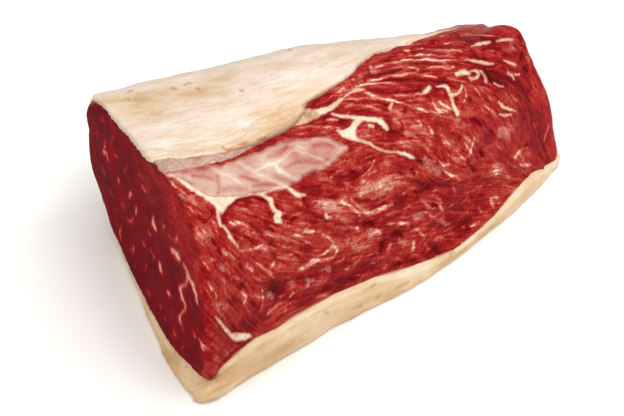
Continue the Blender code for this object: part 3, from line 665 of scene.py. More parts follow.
def match_outlines(piece):
    """Moves the surface a little, the way the picture's plane lies, and level with the floor near it."""
    co, _ = points_of(piece)
    pixels = in_picture(co)
    # a small weight from the start keeps points still where every outline is far away
    total, shift = np.full(len(co), 0.000002), np.zeros((len(co), 2))
    for outline in NUDGES:
        line = np.array(outline)
        apart, moved = np.full(len(co), 1e9), np.zeros((len(co), 2))
        for a, b in zip(line, line[1:]):
            away, t = from_stretch(pixels, a, b)
            closer = away < apart
            apart[closer] = away[closer]
            moved[closer] = (a[2:] + (b[2:] - a[2:]) * t[:, None])[closer]
        near = 1 / (apart ** 2 + 60) ** 2
        total += near
        shift += near[:, None] * moved
    shift *= (PIXEL * MM / total)[:, None]
    low = ease(*NEAR_FLOOR, co[:, 2] / MM)[:, None]
    level = np.array((BACK.x, BACK.y, 0)) / BACK.xy.length / math.sin(ELEVATION)
    down = low * level - (1 - low) * np.array(UP)
    move_points(piece, co + shift[:, :1] * np.array(RIGHT) + shift[:, 1:] * down)


def bumps(points, size, seed):
    """Smooth noise from -1 to 1 at points, with lumps of that size."""
    flat = np.zeros((len(points), 3))
    flat[:, :points.shape[1]] = points / size
    flat[:, 2] += seed * 17.3
    return np.array([noise.noise(p) for p in flat.tolist()])


def stretched(along, across, length, width, seed):
    """Smooth noise in lumps that lie along the fibres, so long and so wide in millimetres."""
    return bumps(np.stack((along / length, across / width), axis=1), 1, seed)


def shaken(pixels, reach, size, seed):
    """Small pushes of points of the picture, each way by up to that many pixels, in lumps of that size."""
    return reach * np.stack([bumps(pixels, size, seed + i) for i in (0, 1)], axis=1)


def wandering(pixels):
    """The points of the picture, shifted a little each way so that drawn lines turn uneven."""
    return pixels + shaken(pixels, 1.5, 11, 2) + shaken(pixels, 0.7, 4, 7)


def bent(line):
    """A drawn line with its corners rounded, unless it starts with a short dab."""
    flat = np.array(line, float)
    if len(flat) < 3 or np.ptp(flat[:2], axis=0).max() < 3.5:
        return flat
    slopes = np.gradient(flat, axis=0)
    out = []
    for at in np.linspace(0, len(flat) - 1, (len(flat) - 1) * 3 + 1):
        i = min(len(flat) - 2, int(at))
        t = at - i
        out.append(
            (2 * t**3 - 3 * t**2 + 1) * flat[i] + (t**3 - 2 * t**2 + t) * slopes[i]
            + (3 * t**2 - 2 * t**3) * flat[i + 1] + (t**3 - t**2) * slopes[i + 1]
        )
    return np.array(out)


def along_lines(pixels, lines, reach=9):
    """For each point of the picture, its distance from the nearest line and that line's half width
    there, in pixels; the nearest is the one whose edge is nearest."""
    apart, width = np.full(len(pixels), float(reach)), np.full(len(pixels), 0.01)
    for line in lines:
        points = bent(line)
        lo, hi = points[:, :2].min(axis=0) - reach, points[:, :2].max(axis=0) + reach
        close = np.nonzero(((pixels > lo) & (pixels < hi)).all(axis=1))[0]
        for a, b in zip(points, points[1:]):
            away, t = from_stretch(pixels[close], a, b)
            wide = a[2] + (b[2] - a[2]) * t
            better = away - wide < apart[close] - width[close]
            apart[close[better]] = away[better]
            width[close[better]] = wide[better]
    return apart, width


def inside_outline(pixels, outline):
    """Signed distance in pixels from an outline in the picture, positive inside."""
    corners = np.array(outline, float)
    inside = np.zeros(len(pixels), bool)
    best = np.full(len(pixels), 1e9)
    for a, b in zip(corners, np.roll(corners, -1, axis=0)):
        best = np.minimum(best, from_stretch(pixels, a, b)[0])
        crosses = (a[1] > pixels[:, 1]) != (b[1] > pixels[:, 1])
        with np.errstate(divide="ignore", invalid="ignore"):
            at = (b[0] - a[0]) * (pixels[:, 1] - a[1]) / (b[1] - a[1]) + a[0]
        inside ^= crosses & (pixels[:, 0] < at)
    return np.where(inside, best, -best)


def areas(pixels, spots):
    """The summed strength of soft oval areas at points of the picture."""
    total = np.zeros(len(pixels))
    for x, y, wide, high, slope, strength in spots:
        turn = math.radians(slope)
        dx, dy = pixels[:, 0] - x, pixels[:, 1] - y
        a = (dx * math.cos(turn) + dy * math.sin(turn)) / wide
        b = (dy * math.cos(turn) - dx * math.sin(turn)) / high
        total += strength * np.exp(-0.7 * (a * a + b * b) ** 1.5)
    return total


def slope_at(pixels, grain):
    """The direction of the fibres at points of the picture, blended from the given slopes."""
    total = np.zeros((len(pixels), 2))
    for x, y, slope in grain:
        near = 1 / (((pixels[:, 0] - x) ** 2 + (pixels[:, 1] - y) ** 2) / 200 + 1) ** 2
        total += near[:, None] * (math.cos(math.radians(slope)), math.sin(math.radians(slope)))
    return total / np.linalg.norm(total, axis=1)[:, None]


def cosine_waves(n):
    """The cosine waves that fit on n points of a grid, each of unit length."""
    k = np.arange(n)[:, None]
    scale = np.where(k == 0, math.sqrt(1 / n), math.sqrt(2 / n))
    return np.cos(np.pi * k * (np.arange(n) + 0.5) / n) * scale


def combed(pixels, grain):
    """How far along and across the fibres points of the picture are, in millimetres. Both are
    solved on a grid, as the even sheets whose slopes best follow the fibres' direction."""
    step, left, top, wide, high = 6, 60, 0, 88, 70
    gx, gy = np.meshgrid(left + step * np.arange(wide), top + step * np.arange(high))
    way = slope_at(np.stack((gx.ravel(), gy.ravel()), axis=1), grain).reshape(high, wide, 2)
    rows, columns = cosine_waves(high), cosine_waves(wide)
    stiff = [2 - 2 * np.cos(np.pi * np.arange(n) / n) for n in (high, wide)]
    stiff = stiff[0][:, None] + stiff[1]
    stiff[0, 0] = 1
    at = (pixels - (left, top)) / step
    i = np.clip(at[:, 0].astype(int), 0, wide - 2)
    j = np.clip(at[:, 1].astype(int), 0, high - 2)
    s, t = at[:, 0] - i, at[:, 1] - j
    found = []
    for run in (way, np.stack((-way[..., 1], way[..., 0]), axis=-1)):
        over = (run[:, 1:, 0] + run[:, :-1, 0]) / 2 * step
        down = (run[1:, :, 1] + run[:-1, :, 1]) / 2 * step
        push = np.zeros((high, wide))
        push[:, :-1] -= over
        push[:, 1:] += over
        push[:-1] -= down
        push[1:] += down
        sheet = rows.T @ (rows @ push @ columns.T / stiff) @ columns
        found.append(PIXEL * (
            (sheet[j, i] * (1 - s) + sheet[j, i + 1] * s) * (1 - t)
            + (sheet[j + 1, i] * (1 - s) + sheet[j + 1, i + 1] * s) * t
        ))
    return found


def grown(seed, inside, grain, count, steps, width, sway):
    """Lines that grow along the fibres from random places of an outline, wavering as they go, in
    steps of three pixels. How many steps they take and their half widths lie between the two given."""
    rng = np.random.default_rng(seed)
    corners = np.array(inside, float)
    at = rng.uniform(corners.min(axis=0), corners.max(axis=0), (count * 5, 2))
    at = at[inside_outline(at, inside) > 0][:count]
    paths, turn = [at], rng.normal(0, sway, len(at))
    for _ in range(steps[1]):
        way = slope_at(at, grain)
        turn = 0.6 * turn + rng.normal(0, sway, len(at))
        at = at + 3 * (way + turn[:, None] * np.stack((-way[:, 1], way[:, 0]), axis=1))
        paths.append(at)
    paths = np.stack(paths, axis=1)
    lines = []
    for path, many, wide in zip(paths, rng.integers(*steps, len(at)), rng.uniform(*width, len(at))):
        swell = np.sin(np.pi * (np.arange(many + 1) + 0.6) / (many + 1.2)) ** 0.6
        lines.append([(x, y, wide * s) for (x, y), s in zip(path, swell)])
    return lines


def low_edge():
    """The lower edge of the bare face, once moved to match, as a drawn line."""
    line = np.array(NUDGES[-1], float)
    return np.column_stack((line[:, :2] + line[:, 2:], np.full(len(line), 0.5)))


def from_low_edge(pixels):
    """How far points of the picture are from the lower edge of the bare face, up to nine pixels."""
    return along_lines(pixels, [low_edge()])[0]


def cut_across(co, normal):
    """How far points belong to the faces that the knife left at the two ends, from 0 to 1."""
    cut = np.zeros(len(co))
    for way in (CUT_WAY, FAR_WAY):
        reach = co @ way
        end = ease(-6 * MM, -3 * MM, reach - reach.max())
        cut = np.maximum(cut, ease(0.72, 0.90, normal @ way) * end)
    return cut


def at_the_knife(co, beyond, flat):
    """Moves for the end of a piece of fat: so far outwards, in millimetres, and a part of the way
    to flat."""
    reach = co @ CUT_WAY
    end = ease(-7 * MM, -3 * MM, reach - reach.max())
    return CUT_WAY * (end * (beyond * MM + flat * (reach.max() - reach)))[:, None]


def gap_to(node, co, limit):
    """How far points are from the surface of a CAD node, up to a limit."""
    tree = BVHTree.FromObject(frame["nodes"][node], bpy.context.evaluated_depsgraph_get())
    return np.array([tree.find_nearest(p, limit)[3] or limit for p in co.tolist()])


def quiet_places(pixels):
    """Where the bare face is smooth: towards the far end, along its top and along the cap."""
    x, y = pixels.T
    end = ease(*CALM_ACROSS, x) * ease(*CALM_FROM_TOP, y) * ease(*CALM_FROM_FOOT, y)
    top = ease(*SMOOTH_TO_TOP, y) * ease(*SMOOTH_ACROSS, x)
    return end, top, ease(7, 1, from_low_edge(pixels))


def torn_tone(uneven):
    """How pale or dark the bare meat is: its areas, which hold painted light and shade as well as its tone,
    its strands, its splits with the painted shade of its hollows, and lines grown between them."""
    tone = 1.35 * areas(uneven, AREAS)
    pale = grown(3, BARE, GRAIN, count=320, steps=(2, 8), width=(0.35, 1.0), sway=0.14)
    dark = grown(4, BARE, GRAIN, count=320, steps=(3, 10), width=(0.3, 0.8), sway=0.12)
    # strands are paler; splits and hollows are darker, partly their own dark red and partly painted shade
    for lines, strength, spread in (
        (STRANDS, 0.42, 1.0), (pale, 0.24, 1.0), (dark, -0.22, 1.1), (SPLITS_AND_SHADED_HOLLOWS, -0.30, 1.1),
    ):
        apart, width = along_lines(uneven, lines)
        tone += strength * fading(apart, width * spread + 0.25)
    return tone


def cut_flecks(uneven):
    """The flecks of fat on the cut end: the wide ones are paler and have a faint rim."""
    apart, width = along_lines(uneven, CUT_FLECKS)
    flecks = (0.42 + 0.55 * np.clip(width, 0, 1)) * fading(apart, width + 0.45)
    return flecks + 0.12 * fading(apart, width + 1.8) * (width > 0.75)


def seam_fat(pixels, uneven, facing):
    """How far inside the seam fat points are, in pixels: its lines, its webs, and all that lies
    below the bare face."""
    ragged = pixels + (uneven - pixels) * 0.6 + shaken(pixels, 0.6, 3.2, 21)
    apart, width = along_lines(ragged, SEAM_FAT)
    fat = width * (0.85 + 0.5 * bumps(pixels, 5, 23)) - apart - 6 * ease(0.2, 0.05, facing)
    for web in FAT_WEBS:
        fat = np.maximum(fat, inside_outline(ragged, web))
    below = [*low_edge()[:, :2], *BELOW_BARE]
    return np.maximum(fat, 0.5 + inside_outline(pixels, below))


def skin_seams(uneven):
    """The silverskin's pale seams, less the places where red shows through it."""
    apart, width = along_lines(uneven, SKIN_SEAMS)
    pale = fading(apart, width + 0.8)
    apart, width = along_lines(uneven, SKIN_REDS)
    return pale - fading(apart, width + 1.6)


def net_places(pixels):
    """Where nets of fine fat cluster on the bare face, from 0 to 1."""
    loose = pixels + shaken(pixels, 6, 8, 24)
    nets = np.zeros(len(pixels))
    for x, y, radius in FAT_NETS:
        away = np.hypot(loose[:, 0] - x, 1.5 * (loose[:, 1] - y))
        nets = np.maximum(nets, 1 - ease(0.1, 1.3, away / radius))
    return nets


def edge_on_greying(pixels, facing):
    """Where the meat is greyed as it turns edge-on to the view: at the far end, and fainter at the top."""
    x, y = pixels.T
    end = ease(*GREYING_END, x) * ease(-0.35, -0.12, facing)
    top = ease(*GREYING_TOP, x) * ease(-0.12, 0.05, facing) * (y < GREYING_TOP_FOOT)
    return ease(0.27, 0.12, facing) * (y < GREYING_FOOT) * np.maximum(end, 0.5 * top)


def draw_lean(piece, co, normal):
    """All that is drawn on the meat, found for each of its vertices. How far inside the fat, the
    skin and the lip a vertex lies is kept in millimetres."""
    pixels, facing, seen = as_seen(co, normal)
    uneven = wandering(pixels)
    cut = cut_across(co, normal)
    front = seen * (1 - cut)
    bare = front > 0.5
    store(piece, "fibres", (*combed(pixels, GRAIN), seen))
    tone = np.where(cut > 0.5, 0.62 * cut_flecks(uneven), torn_tone(uneven)) * seen
    skin = inside_outline(uneven, SILVERSKIN) + 2.5 * ease(*WIDE_SKIN, pixels[:, 0])
    store(piece, "shade", (tone, cut, np.where(bare, skin, -20) * PIXEL))
    fat = seam_fat(pixels, uneven, facing)
    store(piece, "marks", (
        np.where(bare, fat, -9) * PIXEL, net_places(pixels) * front, skin_seams(uneven) * front,
    ))
    # the corner's band counts up from zero and the far greying down, as they never meet
    band = ease(-2.5, 2.5, inside_outline(uneven, CORNER_BAND))
    band *= (1 - ease(0.3, 0.6, normal @ np.array(UP))) * seen
    # where the side of the top fat lies, painted with shade over its thin skin
    lip = inside_outline(pixels, LIP_SIDE)
    calm = quiet_places(pixels)[0]
    store(piece, "edges", (band - edge_on_greying(pixels, facing), np.where(bare, lip, -20) * PIXEL, calm))


def shape_lean(piece):
    """Raises the meat's bundles, lumps and seam fat, and sinks its splits and hollows."""
    co, normal = points_of(piece)
    pixels, _, seen = as_seen(co, normal)
    uneven = wandering(pixels)
    cut = cut_across(co, normal)
    skin = inside_outline(uneven, SILVERSKIN)
    along, across = combed(pixels, GRAIN)
    shown = 0.6 * stretched(along, across, 9, 2.6, 2) + 0.35 * stretched(along, across, 6, 1.3, 3)
    hidden = 0.7 * bumps(co / MM / (9, 2.8, 2.8), 1, 4)
    lumps = 0.7 * bumps(co / MM, 9, 5) + 0.4 * bumps(co / MM, 3.5, 6)
    smooth = np.maximum(cut, ease(-2, 2, skin) * seen)
    lift = (shown * seen + hidden * (1 - seen) + lumps) * (1 - 0.85 * smooth)
    end, top, rim = quiet_places(pixels)
    lift *= (1 - 0.7 * end) * (1 - 0.6 * top) * (1 - 0.8 * rim)
    # the skin and the side of the sheet lie over the bundles as plates, with a step at their edges
    drawn = 0.5 * ease(-2.5, 2.5, skin) + 1.4 * ease(-2, 2, inside_outline(pixels, LIP_SIDE))
    apart, width = along_lines(uneven, SPLITS_AND_SHADED_HOLLOWS)
    drawn -= 0.7 * fading(apart, width + 0.5) * np.clip(width, 0.4, 1.6)
    apart, width = along_lines(uneven, SEAM_FAT)
    drawn += 0.3 * ease(-1.2, 1.2, width - apart)
    for web in FAT_WEBS:
        drawn += 0.35 * ease(-1.2, 1.5, inside_outline(uneven, web))
    drawn += 3.0 * areas(pixels, [area for area in AREAS if abs(area[5]) > 0.05])
    # the tongue rises where it lies on the sheet
    over = ease(-2.5, 2.5, inside_outline(uneven, TONGUE)) * seen * (1 - cut)
    near = np.nonzero(over > 0)[0]
    over[near] *= ease(5, 2.5, gap_to("top_fat", co[near], 6 * MM) / MM)
    lift += drawn * seen * (1 - cut) + 3.0 * over
    co += normal * (lift * MM)[:, None]
    co[:, 2] = np.maximum(co[:, 2], 0)
    move_points(piece, co)


def add(tree, kind, wires=None, stops=(), **settings):
    """Adds a shader node with its settings. Wires are its inputs, given as values, as outputs or as
    nodes whose first output in use is linked, and stops are the places and hex colours of a ramp.
    A Mix node has its factor at 0 and mixes 2 and 3, or the colours 6 and 7. A Map Range node
    takes 0 from the range of 1 and 2 to that of 3 and 4, which is 0 to 1 when it isn't given."""
    node = tree.nodes.new("ShaderNode" + kind)
    for name, value in settings.items():
        setattr(node, name, value)
    for i, (at, colour) in enumerate(stops):
        ramp = node.color_ramp.elements
        stop = ramp[i] if i < 2 else ramp.new(at)
        stop.position = at
        stop.color = rgb(colour)
    for key, value in (wires or {}).items():
        if isinstance(value, bpy.types.Node):
            value = next(output for output in value.outputs if output.enabled)
        if isinstance(value, bpy.types.NodeSocket):
            tree.links.new(value, node.inputs[key])
        else:
            node.inputs[key].default_value = value
    return node


def new_material(name):
    """An empty material, and its node tree."""
    made = bpy.data.materials.new(name)
    made.use_nodes = True
    made.node_tree.nodes.clear()
    return made, made.node_tree


def drawn_on(tree, *names):
    """The numbers that are kept on a piece under these names, three for each."""
    return [
        add(tree, "SeparateXYZ", {0: add(tree, "Attribute", attribute_name=name).outputs["Vector"]}).outputs
        for name in names
    ]


def layered(tree, start, layers):
    """Layers added to a start, each by its weight; a layer of 1 with a weight below 0 centres the sum."""
    for layer, weight in layers:
        start = add(tree, "Math", {0: layer, 1: weight, 2: start}, operation="MULTIPLY_ADD")
    return start


def fibre_layer(tree, place, fibres, size, seed, twist):
    """Noise drawn out along the fibres, by a length and a width in millimetres: along their drawn
    run where the picture shows them, and along the joint elsewhere."""
    along, across, seen = fibres
    length, width = size
    run = add(tree, "CombineXYZ", {0: along, 1: across, 2: seed})
    run = add(tree, "Mapping", {0: run, 3: (1 / length, 1 / width, 1)})
    solid = add(tree, "Mapping", {0: place, 3: (1 / (length * MM), 1 / (width * MM), 1 / (width * MM))})
    look = {"Scale": 1.0, "Detail": 3.0, "Roughness": 0.6, "Distortion": twist}
    shown, hidden = (add(tree, "TexNoise", {"Vector": way, **look}) for way in (run, solid))
    return add(tree, "Mix", {0: seen, 2: hidden, 3: shown})


def vein_lines(tree, layer, width, strength):
    """Fine lines where a layer of noise crosses its middle."""
    off = add(tree, "Math", {0: layer, 1: 0.5}, operation="SUBTRACT")
    off = add(tree, "Math", {0: off}, operation="ABSOLUTE")
    return add(tree, "MapRange", {0: off, 1: 0.0, 2: width, 3: strength, 4: 0.0})


def torn_meat(tree, tone, bundle, strand, fine, grit, lump, patch):
    """Meat torn along its fibres: deep red between them, and pale where fat clings to them."""
    level = layered(tree, tone, (
        (bundle, 0.50), (strand, 0.85), (fine, 0.36), (grit, 0.26), (lump, 0.58), (patch, 0.38),
        (1.0, -1.045),
    ))
    return add(tree, "ValToRGB", {0: level}, stops=(
        (0.0, "5a070c"), (0.16, "740b11"), (0.33, "8e1518"), (0.50, "a42d26"), (0.64, "b34d42"),
        (0.78, "c27b69"), (0.90, "d6a38f"), (1.0, "ecccb6"),
    ))


def cut_meat(tree, place, seen, tone, band, fine, grit, lump, patch):
    """Meat cut across its grain: darker and finer, and brighter along its rounded corner. The far
    end, which the picture doesn't show, has marbling of the same kind."""
    marble = add(tree, "TexNoise", {
        "Vector": place, "Scale": 1 / (13 * MM), "Detail": 2.0, "Roughness": 0.5, "Distortion": 1.2,
    })
    marble = vein_lines(tree, marble, 0.022, 0.5)
    kept = add(tree, "MapRange", {0: patch, 1: 0.45, 2: 0.60})
    marble = add(tree, "Math", {0: marble, 1: kept}, operation="MULTIPLY")
    unseen = add(tree, "Math", {0: 1.0, 1: seen}, operation="SUBTRACT")
    level = layered(tree, tone, (
        (band, 0.17), (marble, unseen), (fine, 0.42), (grit, 0.30), (lump, 0.40), (patch, 0.45),
        (1.0, -0.485),
    ))
    return add(tree, "ValToRGB", {0: level}, stops=(
        (0.0, "42070e"), (0.2, "5a0b15"), (0.36, "760f18"), (0.55, "981319"), (0.70, "ae4238"),
        (1.0, "d8a692"),
    ))


def silverskin(tree, skin, tone, seams, strand, fine, lump, patch):
    """Where the thin skin covers the meat, up to its ragged rim, and its colour: red shows through
    where it is thin."""
    frayed = add(tree, "Math", {0: lump, 1: 2.4, 2: skin}, operation="MULTIPLY_ADD")
    covered = add(tree, "MapRange", {0: frayed, 1: 0.8, 2: 3.0})
    level = layered(tree, 0.30, ((patch, 0.50), (strand, 0.20), (fine, 0.18), (tone, 0.55), (seams, 0.17)))
    veil = add(tree, "ValToRGB", {0: level}, stops=(
        (0.42, "9c3b33"), (0.60, "b87a6c"), (0.76, "c49e90"), (0.88, "d1b4a4"), (1.0, "e4d2c3"),
    ))
    return covered, veil


def fat_net(tree, place, netted, fine, lump):
    """Where nets of fine fat lie: cells a little over 1 mm wide with pale walls, broken here and there."""
    cells = add(tree, "TexVoronoi", {"Vector": place, "Scale": 1 / (1.25 * MM)}, feature="DISTANCE_TO_EDGE")
    walls = add(tree, "MapRange", {0: cells, 1: 0.02, 2: 0.26, 3: 1.0, 4: 0.0})
    kept = layered(tree, netted, ((lump, 1.0), (fine, 1.3)))
    kept = add(tree, "MapRange", {0: kept, 1: 1.55, 2: 2.15, 3: 0.0, 4: 0.6})
    return add(tree, "Math", {0: walls, 1: kept}, operation="MULTIPLY")


def fat_on_meat(tree, lip, fat, tone, fine, lump, patch):
    """The side of the sheet, painted greyish pink as shade over its thin skin, then the seam fat with the
    pink rim
    that shows through its thin edge: where each lies, with an uneven edge, and its colour."""
    lip_edge, fat_edge = (layered(tree, inside, ((fine, 0.8), (1.0, -0.4))) for inside in (lip, fat))
    mottled = layered(tree, 0.0, ((patch, 0.5), (fine, 0.5)))
    # the side of the sheet: painted shade, greyish pink, over its thin skin
    greyed = add(tree, "ValToRGB", {0: mottled}, stops=((0.36, "a47a6b"), (0.62, "ccae9d")))
    waxy = add(tree, "Math", {0: tone, 1: 0.8, 2: lump}, operation="MULTIPLY_ADD")
    cream = add(tree, "ValToRGB", {0: waxy}, stops=((0.12, "b99a7e"), (0.3, "d3b594"), (0.55, "e6d2bb")))
    return (
        (add(tree, "MapRange", {0: lip_edge, 1: -0.2, 2: 0.6}), greyed),
        (add(tree, "MapRange", {0: fat_edge, 1: -0.55, 2: 0.0, 3: 0.0, 4: 0.75}), rgb("c07a66")),
        (add(tree, "MapRange", {0: fat_edge, 1: -0.25, 2: 0.6}), cream),
    )


def raw_muscle(name, gloss, dull):
    """Raw beef, cut and torn along its fibres: deep moist red where it is cut across, pinker and
    streaky along the grain, with cream fat in its seams and a thin pink silverskin. It is moist,
    so its gloss is soft and broken; a face cut by a knife is duller than a torn one."""
    material, tree = new_material(name)
    place = add(tree, "TexCoord").outputs["Object"]
    fibres, (tone, cut, skin), (fat, netted, seams), (corner, lip, calm) = drawn_on(
        tree, "fibres", "shade", "marks", "edges")
    seen = fibres[2]
    band, greying = (add(tree, "MapRange", {0: corner, 1: 0.0, 2: end}) for end in (1.0, -1.0))
    # from fine fibre and grit to lumps and patches: size in millimetres, detail, roughness, twist
    fine, grit, lump, patch = (
        add(tree, "TexNoise", {
            "Vector": place, "Scale": 1 / (size * MM), "Detail": detail, "Roughness": rough,
            "Distortion": twist})
        for size, detail, rough, twist in (
            (1.5, 2.0, 0.6, 0.0), (0.8, 1.0, 0.6, 0.0), (5, 2.0, 0.6, 0.5), (14, 3.0, 0.55, 0.0))
    )
    # bundles 2.6 mm and strands 0.95 mm wide, a little coarser than real ones; near the far end
    # they are smeared over
    quiet = add(tree, "Math", {0: calm, 1: 0.85}, operation="MULTIPLY")
    bundle, strand = (
        add(tree, "Mix", {0: quiet, 2: fibre_layer(tree, place, fibres, size, seed, 0.35), 3: 0.5})
        for size, seed in (((9, 2.6), 0.0), ((9, 0.95), 4.0))
    )
    covered, veil = silverskin(tree, skin, tone, seams, strand, fine, lump, patch)
    # greyed and dulled where the meat turns edge-on to the view
    broken = add(tree, "MapRange", {0: fine, 1: 0.3, 2: 0.7, 3: 0.3, 4: 0.9})
    dulled = add(tree, "Math", {0: greying, 1: broken}, operation="MULTIPLY")
    # each look lies over the ones before it
    colour = torn_meat(tree, tone, bundle, strand, fine, grit, lump, patch)
    for where, look in (
        (cut, cut_meat(tree, place, seen, tone, band, fine, grit, lump, patch)),
        (covered, veil), (dulled, rgb("ab7f6e")), (fat_net(tree, place, netted, fine, lump), rgb("cf9583")),
        *fat_on_meat(tree, lip, fat, tone, fine, lump, patch),
    ):
        colour = add(tree, "Mix", {0: where, 6: colour, 7: look}, data_type="RGBA")
    # relief of the fibres; the skin and the cut ends are smoother
    smooth = add(tree, "Math", {0: cut, 1: covered}, operation="MAXIMUM")
    depth = add(tree, "MapRange", {0: smooth, 1: 0.0, 2: 1.0, 3: 1.0, 4: 0.25})
    height = layered(tree, strand, ((fine, 0.5), (1.0, -0.75)))
    height = add(tree, "Math", {0: height, 1: depth}, operation="MULTIPLY")
    bump = add(tree, "Bump", {"Height": height, "Strength": 0.65, "Distance": 0.7 * MM})
    wet = add(tree, "MapRange", {0: lump, 1: 0.3, 2: 0.7, 3: dull - 0.1, 4: dull + 0.1})
    shader = add(tree, "BsdfPrincipled", {
        "Base Color": colour, "Roughness": wet, "IOR": 1.38, "Specular IOR Level": gloss, "Normal": bump,
        "Subsurface Weight": 0.06, "Subsurface Scale": 1.0,
        "Subsurface Radius": (2.5 * MM, 0.8 * MM, 0.5 * MM),
    })
    add(tree, "OutputMaterial", {0: shader})
    return material


def soft_fat(name, colours, vein, spot):
    """Beef fat: waxy and a little see-through, cream with tan stains and fine wavy veins."""
    material, tree = new_material(name)
    place = add(tree, "TexCoord").outputs["Object"]
    fibres, (tone, veined, pink_shaded_lip), (spots, grey, traced) = drawn_on(tree, "fibres", "shade", "marks")
    broad, narrow = (
        fibre_layer(tree, place, fibres, size, seed, 0.5)
        for size, seed in (((18, 3.4), 0.0), ((11, 1.7), 4.0))
    )
    patch, fine = (
        add(tree, "TexNoise", {
            "Vector": place, "Scale": 1 / (size * MM), "Detail": detail, "Roughness": 0.6})
        for size, detail in ((20, 4.0), (1.5, 2.0))
    )
    wide_veins, thin_veins = vein_lines(tree, broad, 0.035, 1.0), vein_lines(tree, narrow, 0.04, 1.0)
    veins = add(tree, "Math", {0: thin_veins, 1: 0.5, 2: wide_veins}, operation="MULTIPLY_ADD")
    kept = add(tree, "MapRange", {0: patch, 1: 0.42, 2: 0.60})
    for part in (kept, veined):
        veins = add(tree, "Math", {0: veins, 1: part}, operation="MULTIPLY")
    veins = add(tree, "Math", {0: veins, 1: traced}, operation="MAXIMUM")
    level = layered(tree, tone, ((patch, 1.0), (broad, 0.45), (narrow, 0.35), (fine, 0.2), (1.0, -0.5)))
    colour = add(tree, "ValToRGB", {0: level}, stops=tuple(zip((0.2, 0.42, 0.62, 0.9), colours)))
    # the far rim and the pink side of the lip get painted shade; the veins and spots are the fat's own
    for where, strength, look in (
        (veins, 0.6, vein), (grey, 0.8, "b39a8c"), (pink_shaded_lip, 0.7, "bd8c7a"), (spots, 0.8, spot),
    ):
        part = add(tree, "Math", {0: where, 1: strength}, operation="MULTIPLY")
        colour = add(tree, "Mix", {0: part, 6: colour, 7: rgb(look)}, data_type="RGBA")
    height = layered(tree, narrow, ((fine, 0.3), (veins, -0.25)))
    bump = add(tree, "Bump", {"Height": height, "Strength": 0.4, "Distance": 0.7 * MM})
    shader = add(tree, "BsdfPrincipled", {
        "Base Color": colour, "Roughness": 0.5, "IOR": 1.45, "Specular IOR Level": 0.3, "Normal": bump,
        "Subsurface Weight": 0.12, "Subsurface Scale": 1.0,
        "Subsurface Radius": (4 * MM, 2.6 * MM, 1.6 * MM),
    })
    add(tree, "OutputMaterial", {0: shader})
    return material


def make_lean():
    """The block of meat, smoother along the cap, and finest on its bare side."""
    piece = fine_copy("lean", "lean_meat", voxel=1.5, rounds=9)
    smooth_there(piece, from_low_edge(in_picture(points_of(piece)[0])) < 4.5, rounds=12)
    centre, normal = faces_of(piece)
    on_bare_side = inside_outline(in_picture(centre), BARE_AND_SKIN) > -6
    refine(piece, (normal @ np.array(BACK) > 0.12) & on_bare_side)
    normal_before = points_of(piece)[1]
    shape_lean(piece)
    draw_lean(piece, points_of(piece)[0], normal_before)
    dress(
        piece, raw_muscle("raw_muscle", gloss=0.05, dull=0.45),
        raw_muscle("raw_muscle_cut_across", gloss=0.02, dull=0.7))
    # the duller meat is on the cut ends and on the rounded corner of the near one
    centre, normal = faces_of(piece)
    corner = (inside_outline(in_picture(centre), CORNER_BAND) > 0) & (normal @ np.array(UP) < 0.5)
    sliced = (cut_across(centre, normal) > 0.5) | corner
    piece.data.polygons.foreach_set("material_index", sliced.astype(int))
    return piece


def draw_top_fat(piece):
    """The sheet's stains, spots and veins, and the painted shade on the side of its lip and along its far
    rim.
    """
    co, normal = points_of(piece)
    pixels, facing, seen = as_seen(co, normal)
    uneven = wandering(pixels)
    store(piece, "fibres", (*combed(pixels, FAT_GRAIN), seen))
    tone = (0.12 - areas(uneven, FAT_AREAS)) * seen
    # the side of the lip that faces forward and down: painted shade over the pink of its thin skin
    lip = ease(0.55, 0.85, -normal[:, 1]) * ease(0.75, 0.45, normal[:, 2]) * ease(*PINK_SHADED_LIP, pixels[:, 0])
    store(piece, "shade", (tone, 0.8 - 0.5 * seen, 0.6 * lip))
    apart, width = along_lines(pixels, FAT_SPOTS)
    spots = 0.9 * fading(apart, width + 0.75) * seen
    veins = np.zeros(len(co))
    faint = grown(5, FAT_SHOWN, FAT_GRAIN, count=110, steps=(3, 11), width=(0.2, 0.45), sway=0.14)
    strong = grown(6, ALONG_LIP, FAT_GRAIN, count=34, steps=(6, 16), width=(0.25, 0.6), sway=0.10)
    for lines, strength in ((faint, 0.55), (strong, 0.85)):
        apart, width = along_lines(uneven, lines)
        veins = np.maximum(veins, strength * fading(apart, width + 0.35))
    reach = co @ CUT_WAY
    # the far rim, where the sheet turns away, is painted greyer: painted shade
    rim = ease(0.30, 0.05, facing) * ease(0.0, 0.3, normal[:, 1]) * ease(1, 6, (reach.max() - reach) / MM)
    store(piece, "marks", (spots, 0.6 * rim, veins * seen))


def shape_top_fat(piece):
    """Ripples the sheet, presses its hidden side into the meat, and brings its end to the knife's face."""
    co, normal = points_of(piece)
    pixels, _, seen = as_seen(co, normal)
    along, across = combed(pixels, FAT_GRAIN)
    lift = 0.22 * stretched(along, across, 14, 2.6, 8) * seen
    lift += 0.5 * bumps(co / MM, 16, 9) + 0.25 * bumps(co / MM, 6, 10)
    co += normal * (lift * MM)[:, None]
    crown = ease(*SHEET_CROWN, co[:, 2] / MM)
    flush = at_the_knife(co, 1.8 * crown - 1.2 * (1 - crown), 0.3)
    # its hidden side faces the middle of the joint
    out = co * (0, 1, 1) - (0, 0, JOINT_MIDDLE * MM)
    inward = ease(-0.1, -0.5, (out * normal).sum(axis=1) / np.linalg.norm(out, axis=1))
    co += normal * (1.3 * MM * inward)[:, None] + flush
    # under the lean's tongue the sheet sinks away
    under = ease(-2.5, 2.5, inside_outline(wandering(pixels), TONGUE)) * (co[:, 2] > TONGUE_FOOT * MM)
    sunk = ease(*SUNK_SHEET, pixels[:, 0]) * ease(-0.3, 0.1, normal[:, 2])
    co -= normal * (1.4 * MM * sunk)[:, None]
    co -= (3.2 * MM * under)[:, None] * np.array((0.0, -0.45, 0.89))
    move_points(piece, co)


